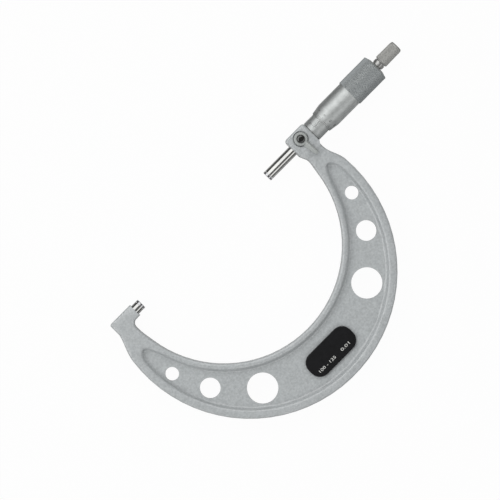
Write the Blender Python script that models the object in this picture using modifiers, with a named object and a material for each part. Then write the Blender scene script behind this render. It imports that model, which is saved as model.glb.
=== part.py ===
# Outside micrometer, 100 to 125 mm, with a cast I-section bow, a lever lock and a ratchet stop.
# Metres. +X runs along the spindle to the thimble, the bow hangs to -Y, +Z is the front face.
# The origin is the centre of the anvil's measuring face. It stands at a reading of 105 mm.

import math

import bmesh
import bpy
from mathutils import Matrix, Vector
from mathutils.geometry import interpolate_bezier

# Clearances between fixed pieces, at the brazed tips, and between pieces that move
SEAT_GAP = 0.0003
BRAZE_GAP = 0.0002
RUN_GAP = 0.0003

# What it measures
RANGE_START = 0.100
TRAVEL = 0.025
REST_OPENING = 0.005

# Measuring spindle and anvil
SPINDLE_DIAMETER = 0.00635
CARBIDE_THICKNESS = 0.0015
TIP_CHAMFER = 0.0002
ANVIL_STANDOUT = 0.0054
ANVIL_SEAT_DEPTH = 0.0110

# Cast bow: both edges are arcs, set by their depth below the spindle and by the legs at its level
THROAT_DEPTH = 0.0799
BOW_WIDTH = 0.0387
LEG_WIDTH = 0.0118
ANVIL_LEG_SETBACK = 0.0050
SCREW_LEG_SETBACK = 0.0006
RIM_THICKNESS = 0.0120
WEB_THICKNESS = 0.0055
EDGE_ROUND = 0.0012
INNER_RIM_WIDTH = 0.0039
OUTER_RIM_WIDTH = 0.0055
POCKET_FILLET = 0.0016
POCKET_LIP_ROUND = 0.0014
POCKET_TOP_DROP = 0.0200
POCKET_INNER_BEND_DROP = 0.0340
POCKET_OUTER_BEND_DROP = 0.0280

# Lightening holes, as (angle from straight down, radius), the same on both sides, a little
# inside the arc half way between the bow's two edges
HOLE_ROWS = ((34.0, 0.00925), (56.85, 0.0061), (74.5, 0.00405))
HOLE_ROW_INSET = 0.0003

# Head that holds the anvil
ANVIL_HEAD_HEIGHT = 0.0083
ANVIL_HEAD_LENGTH = 0.0168
ANVIL_HEAD_CORNER = 0.0014
ANVIL_HEAD_FILLET = 0.0034
ANVIL_LEG_WAIST_DROP = 0.0095
ANVIL_LEG_SPLAY = 14.0
LEG_RELIEF = 0.0014
LEG_SHOULDER_DROP = 0.0200

# Head that holds the measuring screw
SCREW_HEAD_FRONT = 0.0266
SCREW_HEAD_LENGTH = 0.0153
SCREW_HEAD_TOP = 0.0073
SCREW_HEAD_UNDERSIDE = 0.0053
SCREW_HEAD_THICKNESS = 0.0160
SCREW_HEAD_ROUND = 0.0012
SCREW_HEAD_CORNER = 0.0018
SCREW_HEAD_BLEND = 0.0050
SCREW_LEG_WAIST_DROP = 0.0108

# Inner sleeve, pressed into the screw head, and the measuring thread that runs in it
PRESSED_DIAMETER = 0.0092
SPINDLE_LIP = 0.0035
SPLIT_TAPER = 0.0003
SLIT_WIDTH = 0.0008
SLIT_LENGTH = 0.0110
SCREW_THREAD_DIAMETER = 0.0072
SCREW_THREAD_START = 0.0150

# Adjusting nut on the split end of the inner sleeve
NUT_LENGTH = 0.0050
NUT_STANDOFF = 0.0007
NUT_OVERHANG = 0.0007
NUT_SLOT_WIDTH = 0.0012
NUT_SLOT_DEPTH = 0.0010

# Graduated sleeve
SLEEVE_DIAMETER = 0.0130
SLEEVE_WALL = 0.0010
SLEEVE_ZERO = 0.0032
SLEEVE_OVERRUN = 0.0044
SPANNER_HOLE_DIAMETER = 0.0014
SPANNER_HOLE_INSET = 0.0016

# Thimble, measured from its reading edge
THIMBLE_DIAMETER = 0.0162
THIMBLE_LIP = 0.0003
THIMBLE_BEVEL_LENGTH = 0.0064
GRIP_START = 0.0238
GRIP_DIAMETER = 0.0173
GRIP_LENGTH = 0.0215
GRIP_FLUTES = 60
GRIP_FLUTE_DEPTH = 0.0002
GRIP_CHAMFER = 0.0003
THIMBLE_CONE_LENGTH = 0.0010
THIMBLE_CONE_DIAMETER = 0.0104
THIMBLE_FLOOR_CLEARANCE = 0.0020
TAPER_SEAT_DIAMETER = 0.0068
TAPER_SEAT_SLOPE = 0.12

# Ratchet stop
RATCHET_THREAD_DIAMETER = 0.0034
RATCHET_THREAD_LENGTH = 0.0070
NECK_DIAMETER = 0.0062
NECK_LENGTH = 0.0008
COLLAR_DIAMETER = 0.0070
COLLAR_LENGTH = 0.0021
STEM_DIAMETER = 0.0030
STEM_FLAT = 0.0022
STOP_FLANGE_DIAMETER = 0.0052
STOP_FLANGE_LENGTH = 0.0008
KNOB_DIAMETER = 0.0083
KNOB_END_DIAMETER = 0.0079
KNOB_LENGTH = 0.0132
KNOB_GAP = 0.0008
KNOB_CHAMFER = 0.0007
KNOB_FLUTES = 36
KNOB_FLUTE_DEPTH = 0.0002
KNOB_BORE_DIAMETER = 0.0060
KNOB_END_WALL = 0.0042
RING_THICKNESS = 0.0006
RING_GROOVE_DEPTH = 0.0006
RING_INSET = 0.0008
RING_OPENING = 0.0020
RATCHET_TEETH = 12
TOOTH_HEIGHT = 0.00045
TOOTH_LENGTH = 0.0008
TOOTH_ROOT = 0.0002
TOOTH_MARGIN = 0.00015
WHEEL_THICKNESS = 0.0010
SPRING_WIRE = 0.0005
SPRING_TURNS = 4
SPRING_TURN_STEPS = 12

# Spindle lock
LOCK_INSET = 0.0078
LOCK_RISE = 0.0015
SPOTFACE_DIAMETER = 0.0094
SPOTFACE_DEPTH = 0.0012
WASHER_THICKNESS = 0.0004
CLAMP_THREAD_DIAMETER = 0.0048
CLAMP_SHANK_DIAMETER = 0.0030
SHOE_DIAMETER = 0.0038
SHOE_REACH = 0.0015
LEVER_HUB_DIAMETER = 0.0088
LEVER_HUB_HEIGHT = 0.0021
LEVER_LENGTH = 0.0131
LEVER_ROOT_WIDTH = 0.0046
LEVER_TIP_WIDTH = 0.0016
LEVER_RIDGE_HEIGHT = 0.0017
LEVER_ROUND = 0.0008
LEVER_TAIL_ROUND = 0.0006
LEVER_TILT = 5.3
LOCK_SCREW_DIAMETER = 0.0050
LOCK_SCREW_HEIGHT = 0.0015
LOCK_SCREW_THREAD_DIAMETER = 0.0016
LOCK_SCREW_THREAD_LENGTH = 0.0025
HEX_SOCKET_WIDTH = 0.0018
HEX_SOCKET_DEPTH = 0.0008

# Range plate
PLATE_LENGTH = 0.0343
PLATE_HEIGHT = 0.0158
PLATE_CORNER = 0.0066
PLATE_THICKNESS = 0.0014
PLATE_RIM = 0.0009
PLATE_RECESS = 0.0003
PLATE_BELOW_MIDDLE = 0.00045

# Sides of round pieces, points along each arc of the bow, its bends and the small corners
ROUND_STEPS = 40
SMALL_STEPS = 20
OUTLINE_STEPS = 38
BEND_STEPS = 5
CORNER_STEPS = 5
EDGE_STEPS = 2

# Angles from which an edge stays sharp, and from which the pocket's lip is rounded
SHARP_ANGLE = 35.0
LIP_ANGLE = 60.0

# Points nearer than this are one
MERGE_DISTANCE = 0.000001

def arc_radius(half_width, depth):
    # The arc that is this wide at the spindle's level and reaches this far below it.
    return (depth**2 + half_width**2) / (2 * depth)


# Places worked out from the sizes above
SPINDLE_RADIUS = SPINDLE_DIAMETER / 2
SPINDLE_BORE_RADIUS = SPINDLE_RADIUS + RUN_GAP
SPINDLE_FACE_X = RANGE_START + REST_OPENING
SCREW_HEAD_X = RANGE_START + SCREW_HEAD_FRONT
SCREW_HEAD_END_X = SCREW_HEAD_X + SCREW_HEAD_LENGTH
ANVIL_LEG_X = -ANVIL_STANDOUT - ANVIL_LEG_SETBACK
SCREW_LEG_X = SCREW_HEAD_X + SCREW_LEG_SETBACK
BOW_MIDDLE_X = (ANVIL_LEG_X + SCREW_LEG_X) / 2
HALF_THROAT = (SCREW_LEG_X - ANVIL_LEG_X) / 2
BOW_DEPTH = THROAT_DEPTH + BOW_WIDTH
THROAT_RADIUS = arc_radius(HALF_THROAT, THROAT_DEPTH)
OUTER_RADIUS = arc_radius(HALF_THROAT + LEG_WIDTH, BOW_DEPTH)
THROAT_CENTRE = Vector((BOW_MIDDLE_X, THROAT_RADIUS - THROAT_DEPTH))
OUTER_CENTRE = Vector((BOW_MIDDLE_X, OUTER_RADIUS - BOW_DEPTH))
RIM_Z = RIM_THICKNESS / 2
WEB_Z = WEB_THICKNESS / 2
HEAD_Z = SCREW_HEAD_THICKNESS / 2
SLEEVE_X = SCREW_HEAD_END_X + SEAT_GAP
ZERO_X = SCREW_HEAD_END_X + SLEEVE_ZERO
EDGE_X = ZERO_X + REST_OPENING
SLEEVE_RADIUS = SLEEVE_DIAMETER / 2
SLEEVE_BORE_RADIUS = SLEEVE_RADIUS - SLEEVE_WALL
SLEEVE_END_X = ZERO_X + TRAVEL + SLEEVE_OVERRUN
INNER_SLEEVE_RADIUS = SLEEVE_BORE_RADIUS - SEAT_GAP
PRESSED_RADIUS = PRESSED_DIAMETER / 2
SCREW_THREAD_RADIUS = SCREW_THREAD_DIAMETER / 2
NUT_X = SLEEVE_END_X + NUT_STANDOFF
NUT_END_X = NUT_X + NUT_LENGTH
INNER_SLEEVE_END_X = NUT_END_X + NUT_OVERHANG
THIMBLE_BORE_RADIUS = SLEEVE_RADIUS + RUN_GAP
THIMBLE_RADIUS = THIMBLE_DIAMETER / 2
THIMBLE_FLOOR_X = INNER_SLEEVE_END_X + REST_OPENING + THIMBLE_FLOOR_CLEARANCE
GRIP_X = EDGE_X + GRIP_START
GRIP_END_X = GRIP_X + GRIP_LENGTH
THIMBLE_END_X = GRIP_END_X + THIMBLE_CONE_LENGTH
NUT_RADIUS = THIMBLE_BORE_RADIUS - RUN_GAP
TAPER_SEAT_RADIUS = TAPER_SEAT_DIAMETER / 2
STEM_RADIUS = STEM_DIAMETER / 2
COLLAR_X = THIMBLE_END_X + NECK_LENGTH
COLLAR_END_X = COLLAR_X + COLLAR_LENGTH
KNOB_X = COLLAR_END_X + KNOB_GAP
KNOB_END_X = KNOB_X + KNOB_LENGTH
KNOB_FLOOR_X = KNOB_END_X - KNOB_END_WALL
KNOB_BORE_RADIUS = KNOB_BORE_DIAMETER / 2
RING_X = KNOB_X + RING_INSET
RING_END_X = RING_X + RING_THICKNESS
RING_GROOVE_RADIUS = KNOB_BORE_RADIUS + RING_GROOVE_DEPTH
STOP_FLANGE_X = RING_END_X + SEAT_GAP
STOP_FLANGE_END_X = STOP_FLANGE_X + STOP_FLANGE_LENGTH
WHEEL_FACE_X = KNOB_FLOOR_X - 2 * TOOTH_HEIGHT - RUN_GAP
WHEEL_X = WHEEL_FACE_X - WHEEL_THICKNESS
WHEEL_RADIUS = KNOB_BORE_RADIUS - RUN_GAP
WHEEL_BORE_RADIUS = STEM_RADIUS + SEAT_GAP
LOCK_X = SCREW_HEAD_X + LOCK_INSET
LOCK_PLACE = Vector((LOCK_X, LOCK_RISE, 0.0))
SPOTFACE_Z = HEAD_Z - SPOTFACE_DEPTH
WASHER_Z = SPOTFACE_Z + SEAT_GAP
HUB_Z = WASHER_Z + WASHER_THICKNESS + RUN_GAP
HUB_TOP_Z = HUB_Z + LEVER_HUB_HEIGHT
CLAMP_FOOT_Z = PRESSED_RADIUS + SEAT_GAP
SHOE_FOOT_Z = SPINDLE_RADIUS - SHOE_REACH
SHOE_RADIUS = SHOE_DIAMETER / 2

parts = bpy.data.collections.new("outside_micrometer")
cutters = bpy.data.collections.new("cutters")


def clear_scene():
    for obj in list(bpy.data.objects):
        bpy.data.objects.remove(obj, do_unlink=True)
    bpy.context.scene.collection.children.link(parts)
    bpy.context.scene.collection.children.link(cutters)


def make_material(name, colour, metallic, roughness):
    material = bpy.data.materials.new(name)
    material.use_nodes = True
    shader = material.node_tree.nodes["Principled BSDF"]
    shader.inputs["Base Color"].default_value = (*colour, 1.0)
    shader.inputs["Metallic"].default_value = metallic
    shader.inputs["Roughness"].default_value = roughness
    return material


def place(obj, collection):
    for held_by in list(obj.users_collection):
        held_by.objects.unlink(obj)
    collection.objects.link(obj)


def finish(obj, material):
    obj.data.materials.clear()
    obj.data.materials.append(material)
    if obj.type == "MESH":
        obj.data.shade_smooth()
        obj.data.set_sharp_from_angle(angle=math.radians(SHARP_ANGLE))
    return obj


def boolean(target, tool, operation):
    place(tool, cutters)
    tool.hide_render = True
    tool.display_type = "WIRE"
    modifier = target.modifiers.new(f"{operation.lower()} {tool.name}", "BOOLEAN")
    modifier.operation = operation
    modifier.solver = "EXACT"
    modifier.object = tool


def cut(target, *tools):
    for tool in tools:
        boolean(target, tool, "DIFFERENCE")


def join(target, *tools):
    for tool in tools:
        boolean(target, tool, "UNION")


def keep_inside(target, envelope):
    boolean(target, envelope, "INTERSECT")


def round_lips(target, width):
    modifier = target.modifiers.new("rounded lips", "BEVEL")
    modifier.width = width
    modifier.segments = EDGE_STEPS
    modifier.limit_method = "ANGLE"
    modifier.angle_limit = math.radians(LIP_ANGLE)


def turned(name, profile, steps=ROUND_STEPS):
    # The profile is (distance along X, radius), far end first, down the outer side.
    mesh = bpy.data.meshes.new(name)
    points = [(radius, 0.0, along) for along, radius in profile]
    edges = [(i, i + 1) for i in range(len(points) - 1)]
    if profile[0][1] > 0:
        edges.append((len(points) - 1, 0))
    mesh.from_pydata(points, edges, [])
    obj = bpy.data.objects.new(name, mesh)
    place(obj, parts)
    screw = obj.modifiers.new("turn", "SCREW")
    screw.steps = steps
    screw.render_steps = steps
    screw.use_merge_vertices = True
    screw.merge_threshold = MERGE_DISTANCE
    obj.rotation_euler = (0.0, math.pi / 2, 0.0)
    return obj


def rod(name, near, far, radius, steps=ROUND_STEPS):
    return turned(name, [(far, 0.0), (far, radius), (near, radius), (near, 0.0)], steps)


def ring(name, near, far, outer, inner, steps=ROUND_STEPS):
    return turned(name, [(far, outer), (near, outer), (near, inner), (far, inner)], steps)


def stand_at_lock(obj):
    # Stands a turned piece up at the lock, so that its profile's distances run along Z.
    obj.rotation_euler = (0.0, 0.0, 0.0)
    obj.location = LOCK_PLACE
    return obj


def box(name, low, high):
    mesh = bpy.data.meshes.new(name)
    shape = bmesh.new()
    bmesh.ops.create_cube(shape, size=1.0)
    bmesh.ops.scale(shape, vec=Vector(high) - Vector(low), verts=shape.verts)
    shape.to_mesh(mesh)
    shape.free()
    obj = bpy.data.objects.new(name, mesh)
    obj.location = (Vector(low) + Vector(high)) / 2
    place(obj, parts)
    return obj


def cone(name, near_radius, far_radius, length, steps):
    # Stands on its wide end along Z, centred on its middle.
    mesh = bpy.data.meshes.new(name)
    shape = bmesh.new()
    bmesh.ops.create_cone(
        shape, cap_ends=True, segments=steps, radius1=near_radius, radius2=far_radius, depth=length
    )
    shape.to_mesh(mesh)
    shape.free()
    obj = bpy.data.objects.new(name, mesh)
    place(obj, parts)
    return obj


def plate(name, outline, thickness, edge_round=0.0):
    # A flat outline given thickness about z = 0, with round edges inside the outline.
    curve = bpy.data.curves.new(name, "CURVE")
    curve.dimensions = "2D"
    curve.fill_mode = "BOTH"
    curve.extrude = thickness / 2 - edge_round
    curve.bevel_depth = edge_round
    curve.bevel_resolution = EDGE_STEPS // 2
    curve.offset = -edge_round
    spline = curve.splines.new("POLY")
    spline.points.add(len(outline) - 1)
    spline.use_cyclic_u = True
    for point, (x, y) in zip(spline.points, outline):
        point.co = (x, y, 0.0, 1.0)
    sheet = bpy.data.objects.new(name, curve)
    bpy.context.scene.collection.objects.link(sheet)
    bpy.context.view_layer.update()
    mesh = bpy.data.meshes.new_from_object(sheet.evaluated_get(bpy.context.evaluated_depsgraph_get()))
    bpy.data.objects.remove(sheet, do_unlink=True)
    shape = bmesh.new()
    shape.from_mesh(mesh)
    bmesh.ops.remove_doubles(shape, verts=shape.verts, dist=MERGE_DISTANCE)
    bmesh.ops.dissolve_limit(shape, angle_limit=0.0005, verts=shape.verts, edges=shape.edges)
    bmesh.ops.recalc_face_normals(shape, faces=shape.faces)
    shape.to_mesh(mesh)
    shape.free()
    mesh.name = name
    obj = bpy.data.objects.new(name, mesh)
    place(obj, parts)
    return obj


def fluted_bar(name, near, far, near_radius, far_radius, depth, count):
    # A bar along X with straight ridges round it, tapered from one end to the other.
    outline = []
    for i in range(2 * count):
        angle = math.pi * i / count
        reach = near_radius - depth * (i % 2)
        outline.append((reach * math.cos(angle), reach * math.sin(angle)))
    bar = plate(name, outline, far - near)
    for vertex in bar.data.vertices:
        if vertex.co.z > 0:
            vertex.co.xy *= far_radius / near_radius
    bar.rotation_euler = (0.0, math.pi / 2, 0.0)
    bar.location.x = (near + far) / 2
    return bar


def arc(centre, radius, start, end, steps):
    # Angles in degrees from +X, turning towards +Y.
    found = []
    for i in range(steps + 1):
        angle = math.radians(start + (end - start) * i / steps)
        found.append(centre + radius * Vector((math.cos(angle), math.sin(angle))))
    return found


def bend(start, leaving, end, arriving):
    # A smooth run from start to end; leaving and arriving are the pulls at its ends.
    handles = [Vector((*p, 0.0)) for p in (start, start + leaving, end - arriving, end)]
    return [p.xy for p in interpolate_bezier(*handles, BEND_STEPS + 1)]


def fillet(before, corner, after, radius):
    # The arc that rounds a corner between two straight runs.
    to_before = (before - corner).normalized()
    to_after = (after - corner).normalized()
    half = to_before.angle(to_after) / 2
    centre = corner + (to_before + to_after).normalized() * radius / math.sin(half)
    first = corner + to_before * radius / math.tan(half) - centre
    last = corner + to_after * radius / math.tan(half) - centre
    sweep = first.angle_signed(last)
    found = []
    for i in range(CORNER_STEPS + 1):
        angle = math.atan2(first.y, first.x) - sweep * i / CORNER_STEPS
        found.append(centre + radius * Vector((math.cos(angle), math.sin(angle))))
    return found


def round_rectangle(centre, length, height, radius):
    x = length / 2 - radius
    y = height / 2 - radius
    found = []
    for i, (sign_x, sign_y) in enumerate(((1, 1), (-1, 1), (-1, -1), (1, -1))):
        corner = centre + Vector((sign_x * x, sign_y * y))
        found += arc(corner, radius, 90.0 * i, 90.0 * (i + 1), CORNER_STEPS)
    return found


def angle_at(centre, radius, y, side):
    # Where an arc passes the height y, on its left (-1) or right (+1), in degrees.
    rise = math.degrees(math.asin((y - centre.y) / radius))
    return rise if side > 0 else 180.0 - rise


def heading(degrees, turning):
    # The way an arc runs at this angle, turning +1 towards +Y or -1 back.
    angle = math.radians(degrees)
    return turning * Vector((-math.sin(angle), math.cos(angle)))


def anvil_head_outline():
    # From its front underside up, back and down to where the leg leaves it.
    low = -ANVIL_HEAD_HEIGHT / 2
    front_x = -ANVIL_STANDOUT + ANVIL_HEAD_FILLET
    back_x = -ANVIL_STANDOUT - ANVIL_HEAD_LENGTH
    foot = Vector((back_x, low))
    points = [Vector((front_x, low)), Vector((front_x, -low))]
    points += fillet(points[-1], Vector((back_x, -low)), foot, ANVIL_HEAD_CORNER)
    points.append(foot)
    return points


def outer_edge(foot):
    # Down from the anvil head, round under the bow and up into the screw head.
    left = angle_at(OUTER_CENTRE, OUTER_RADIUS, -LEG_SHOULDER_DROP, -1)
    right = angle_at(OUTER_CENTRE, OUTER_RADIUS, -LEG_SHOULDER_DROP - SCREW_HEAD_BLEND, 1) + 360.0
    rim = arc(OUTER_CENTRE, OUTER_RADIUS, left, right, OUTLINE_STEPS)
    splay = math.radians(ANVIL_LEG_SPLAY)
    pull = (rim[0] - foot).length / 3
    leaving = Vector((-math.sin(splay), -math.cos(splay))) * pull
    points = bend(foot, leaving, rim[0], heading(left, 1) * pull)[1:-1]
    points += rim
    waist = Vector((SCREW_HEAD_END_X - EDGE_ROUND, -SCREW_LEG_WAIST_DROP))
    pull = (waist - rim[-1]).length / 3
    points += bend(rim[-1], heading(right, 1) * pull, waist, Vector((0, 1)) * pull)[1:]
    points.append(Vector((waist.x, -SCREW_HEAD_UNDERSIDE)))
    return points


def throat_edge():
    # Down from the screw head, round the throat and up to the anvil head.
    right = angle_at(THROAT_CENTRE, THROAT_RADIUS, -LEG_SHOULDER_DROP, 1)
    left = angle_at(THROAT_CENTRE, THROAT_RADIUS, -LEG_SHOULDER_DROP, -1)
    throat = arc(THROAT_CENTRE, THROAT_RADIUS, right + 360.0, left, OUTLINE_STEPS)
    down = Vector((0, -1))
    waist = Vector((SCREW_LEG_X + LEG_RELIEF, -SCREW_LEG_WAIST_DROP))
    under_head = Vector((SCREW_HEAD_X + SEAT_GAP, -SCREW_HEAD_UNDERSIDE))
    pull = (waist - under_head).length / 3
    points = bend(under_head, down * pull, waist, down * pull)
    pull = (throat[0] - waist).length / 3
    points += bend(waist, down * pull, throat[0], heading(right, -1) * pull)[1:-1]
    points += throat
    waist = Vector((ANVIL_LEG_X - LEG_RELIEF, -ANVIL_LEG_WAIST_DROP))
    pull = (throat[-1] - waist).length / 3
    points += bend(throat[-1], heading(left, -1) * pull, waist, -down * pull)[1:]
    return points


def bow_outline():
    head = anvil_head_outline()
    throat = throat_edge()
    inside = SCREW_HEAD_ROUND * 2
    in_screw_head = [
        Vector((SCREW_HEAD_END_X - inside, -inside)),
        Vector((SCREW_HEAD_X + inside, -inside)),
    ]
    corner = Vector((throat[-1].x, head[0].y))
    last = fillet(throat[-1], corner, head[0], ANVIL_HEAD_FILLET)
    return head + outer_edge(head[-1]) + in_screw_head + throat + last[:-1]


def pocket_outline():
    # Half of it, from the middle of its outer side up and back along its inner side, then mirrored.
    inner_wall = THROAT_RADIUS + INNER_RIM_WIDTH
    outer_wall = OUTER_RADIUS - OUTER_RIM_WIDTH
    low_inner = angle_at(THROAT_CENTRE, inner_wall, -POCKET_INNER_BEND_DROP, 1)
    low_outer = angle_at(OUTER_CENTRE, outer_wall, -POCKET_OUTER_BEND_DROP, 1)
    outer_run = arc(OUTER_CENTRE, outer_wall, -90.0, low_outer, OUTLINE_STEPS // 2)
    inner_run = arc(THROAT_CENTRE, inner_wall, low_inner, -90.0, OUTLINE_STEPS // 2)
    inner_top = BOW_MIDDLE_X + math.sqrt(inner_wall**2 - (POCKET_TOP_DROP + THROAT_CENTRE.y) ** 2)
    outer_top = BOW_MIDDLE_X + math.sqrt(outer_wall**2 - (POCKET_TOP_DROP + OUTER_CENTRE.y) ** 2)
    top = Vector(((inner_top + outer_top) / 2, -POCKET_TOP_DROP))
    over = Vector((inner_top - outer_top, 0)) / 4
    up = heading(low_outer, 1) * (top.y - outer_run[-1].y) * 2 / 3
    down = heading(low_inner, -1) * (top.y - inner_run[0].y) * 2 / 3
    half = outer_run + bend(outer_run[-1], up, top, over)[1:]
    half += bend(top, over, inner_run[0], down)[1:-1]
    half += inner_run
    other = [Vector((2 * BOW_MIDDLE_X - p.x, p.y)) for p in reversed(half)]
    return half + other[1:-1]


def pocket(name, side):
    reach = RIM_Z - WEB_Z + 2 * POCKET_FILLET
    tool = plate(name, pocket_outline(), reach, POCKET_FILLET)
    tool.location.z = side * (WEB_Z + reach / 2)
    return tool


def lightening_holes():
    middle_radius = (THROAT_RADIUS + OUTER_RADIUS) / 2 - HOLE_ROW_INSET
    centre = (THROAT_CENTRE + OUTER_CENTRE) / 2
    tools = []
    for row, (angle, radius) in enumerate(HOLE_ROWS):
        for side in (-1, 1):
            turn = math.radians(angle) * side
            name = f"lightening hole {side * (row + 1)}"
            hole = cone(name, radius, radius, RIM_THICKNESS, ROUND_STEPS)
            hole.location.xy = centre + middle_radius * Vector((math.sin(turn), -math.cos(turn)))
            tools.append(hole)
    return tools


def screw_head():
    # The head's plan, kept only where its side view also reaches, so that it slopes into the leg.
    low = -SCREW_HEAD_UNDERSIDE
    waist = low - SCREW_HEAD_BLEND
    corners = [
        Vector((SCREW_HEAD_END_X - 2 * SCREW_HEAD_ROUND, waist)),
        Vector((SCREW_HEAD_END_X, low - SCREW_HEAD_ROUND)),
        Vector((SCREW_HEAD_END_X, SCREW_HEAD_TOP)),
        Vector((SCREW_HEAD_X, SCREW_HEAD_TOP)),
        Vector((SCREW_HEAD_X, low)),
        Vector((SCREW_HEAD_X + 2 * SCREW_HEAD_ROUND, waist)),
    ]
    plan = [corners[0]]
    for before, corner, after in zip(corners, corners[1:], corners[2:]):
        plan += fillet(before, corner, after, SCREW_HEAD_CORNER)
    plan.append(corners[-1])
    head = plate("screw head", plan, SCREW_HEAD_THICKNESS, SCREW_HEAD_ROUND)
    inset = RIM_Z - SEAT_GAP
    wide = inset + 2 * (HEAD_Z - inset)
    right = [
        (inset, waist - SCREW_HEAD_ROUND),
        (inset, waist),
        (wide, waist + 2 * SCREW_HEAD_BLEND),
        (wide, SCREW_HEAD_TOP + SCREW_HEAD_ROUND),
    ]
    left = [(-z, y) for z, y in reversed(right)]
    side_view = plate("screw head side view", right + left, 2 * SCREW_HEAD_LENGTH)
    side_view.rotation_euler = (0.0, -math.pi / 2, 0.0)
    side_view.location.x = SCREW_HEAD_X + SCREW_HEAD_LENGTH / 2
    keep_inside(head, side_view)
    return head


def anvil_head_cuts():
    # The face that the anvil stands out of, and its blind seat.
    face = box(
        "anvil head face",
        (-ANVIL_STANDOUT, -ANVIL_HEAD_HEIGHT, -RIM_THICKNESS),
        (ANVIL_HEAD_FILLET, ANVIL_HEAD_HEIGHT, RIM_THICKNESS),
    )
    deep = -ANVIL_STANDOUT - ANVIL_SEAT_DEPTH
    seat = rod("anvil seat", deep, 0.0, SPINDLE_RADIUS + SEAT_GAP)
    return face, seat


def screw_head_cuts():
    # The bore for the spindle and the inner sleeve, and the threaded hole of the lock.
    wide = PRESSED_RADIUS + SEAT_GAP
    step = SCREW_HEAD_X + SPINDLE_LIP
    near = SCREW_HEAD_X - SCREW_HEAD_ROUND
    far = SCREW_HEAD_END_X + SCREW_HEAD_ROUND
    profile = [(far, 0.0), (far, wide), (step, wide)]
    profile += [(step, SPINDLE_BORE_RADIUS), (near, SPINDLE_BORE_RADIUS), (near, 0.0)]
    bore = turned("spindle bore", profile)
    over = HEAD_Z + SPOTFACE_DEPTH
    spotface = SPOTFACE_DIAMETER / 2
    clamp_hole = CLAMP_THREAD_DIAMETER / 2 + SEAT_GAP
    profile = [(over, 0.0), (over, spotface), (SPOTFACE_Z, spotface)]
    profile += [(SPOTFACE_Z, clamp_hole), (0.0, clamp_hole), (0.0, 0.0)]
    return bore, stand_at_lock(turned("clamp screw hole", profile))


def build_frame(material):
    frame = plate("frame", bow_outline(), RIM_THICKNESS, EDGE_ROUND)
    cut(frame, pocket("front pocket", 1), pocket("back pocket", -1))
    round_lips(frame, POCKET_LIP_ROUND)
    join(frame, screw_head())
    cut(frame, *lightening_holes(), *anvil_head_cuts(), *screw_head_cuts())
    return finish(frame, material)


def build_anvil(steel, carbide):
    near = -ANVIL_STANDOUT - ANVIL_SEAT_DEPTH + SEAT_GAP
    anvil = rod("anvil", near, -CARBIDE_THICKNESS - BRAZE_GAP, SPINDLE_RADIUS)
    rim = SPINDLE_RADIUS - TIP_CHAMFER
    profile = [(0.0, 0.0), (0.0, rim), (-TIP_CHAMFER, SPINDLE_RADIUS)]
    profile += [(-CARBIDE_THICKNESS, SPINDLE_RADIUS), (-CARBIDE_THICKNESS, 0.0)]
    finish(anvil, steel)
    finish(turned("anvil_tip", profile), carbide)


def split_radius(x):
    # The inner sleeve narrows towards its split end, where the nut draws it together.
    share = max(0.0, (x - NUT_X) / (INNER_SLEEVE_END_X - NUT_X))
    return INNER_SLEEVE_RADIUS - SPLIT_TAPER * share


def build_inner_sleeve(material):
    near = SCREW_HEAD_X + SPINDLE_LIP + SEAT_GAP
    far = INNER_SLEEVE_END_X
    guide_end = SCREW_HEAD_END_X + SCREW_THREAD_START - REST_OPENING - RUN_GAP
    thread_bore = SCREW_THREAD_RADIUS + RUN_GAP
    profile = [(far, split_radius(far)), (NUT_X, INNER_SLEEVE_RADIUS), (SLEEVE_X, INNER_SLEEVE_RADIUS)]
    profile += [(SLEEVE_X, PRESSED_RADIUS), (near, PRESSED_RADIUS), (near, SPINDLE_BORE_RADIUS)]
    profile += [(guide_end, SPINDLE_BORE_RADIUS), (guide_end, thread_bore), (far, thread_bore)]
    sleeve = turned("inner_sleeve", profile)
    half = SLIT_WIDTH / 2
    wide = INNER_SLEEVE_RADIUS + SLEEVE_WALL
    start = far - SLIT_LENGTH
    end = far + SLIT_WIDTH
    window_foot = SHOE_FOOT_Z - RUN_GAP
    window = rod("clamp shoe window", window_foot, HEAD_Z, SHOE_RADIUS + RUN_GAP, SMALL_STEPS)
    cut(
        sleeve,
        box("upright slit", (start, -half, -wide), (end, half, wide)),
        box("level slit", (start, -wide, -half), (end, wide, half)),
        stand_at_lock(window),
    )
    finish(sleeve, material)


def build_adjusting_nut(material):
    near_bore = split_radius(NUT_X) + SEAT_GAP
    far_bore = split_radius(NUT_END_X) + SEAT_GAP
    profile = [(NUT_END_X, NUT_RADIUS), (NUT_X, NUT_RADIUS), (NUT_X, near_bore), (NUT_END_X, far_bore)]
    nut = turned("adjusting_nut", profile)
    half = NUT_SLOT_WIDTH / 2
    wide = NUT_RADIUS + NUT_SLOT_WIDTH
    floor = NUT_END_X - NUT_SLOT_DEPTH
    cut(nut, box("nut slot", (floor, -wide, -half), (NUT_END_X + NUT_SLOT_DEPTH, wide, half)))
    finish(nut, material)


def build_graduated_sleeve(material):
    sleeve = ring("graduated_sleeve", SLEEVE_X, SLEEVE_END_X, SLEEVE_RADIUS, SLEEVE_BORE_RADIUS)
    hole = cone(
        "spanner hole", SPANNER_HOLE_DIAMETER / 2, SPANNER_HOLE_DIAMETER / 2, SLEEVE_RADIUS, SMALL_STEPS
    )
    hole.location = (SLEEVE_X + SPANNER_HOLE_INSET, 0.0, -SLEEVE_RADIUS)
    cut(sleeve, hole)
    finish(sleeve, material)


def taper_radius(x):
    # The spindle's tapered end, which the thimble is drawn on to.
    return TAPER_SEAT_RADIUS - TAPER_SEAT_SLOPE * (x - THIMBLE_FLOOR_X)


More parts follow.
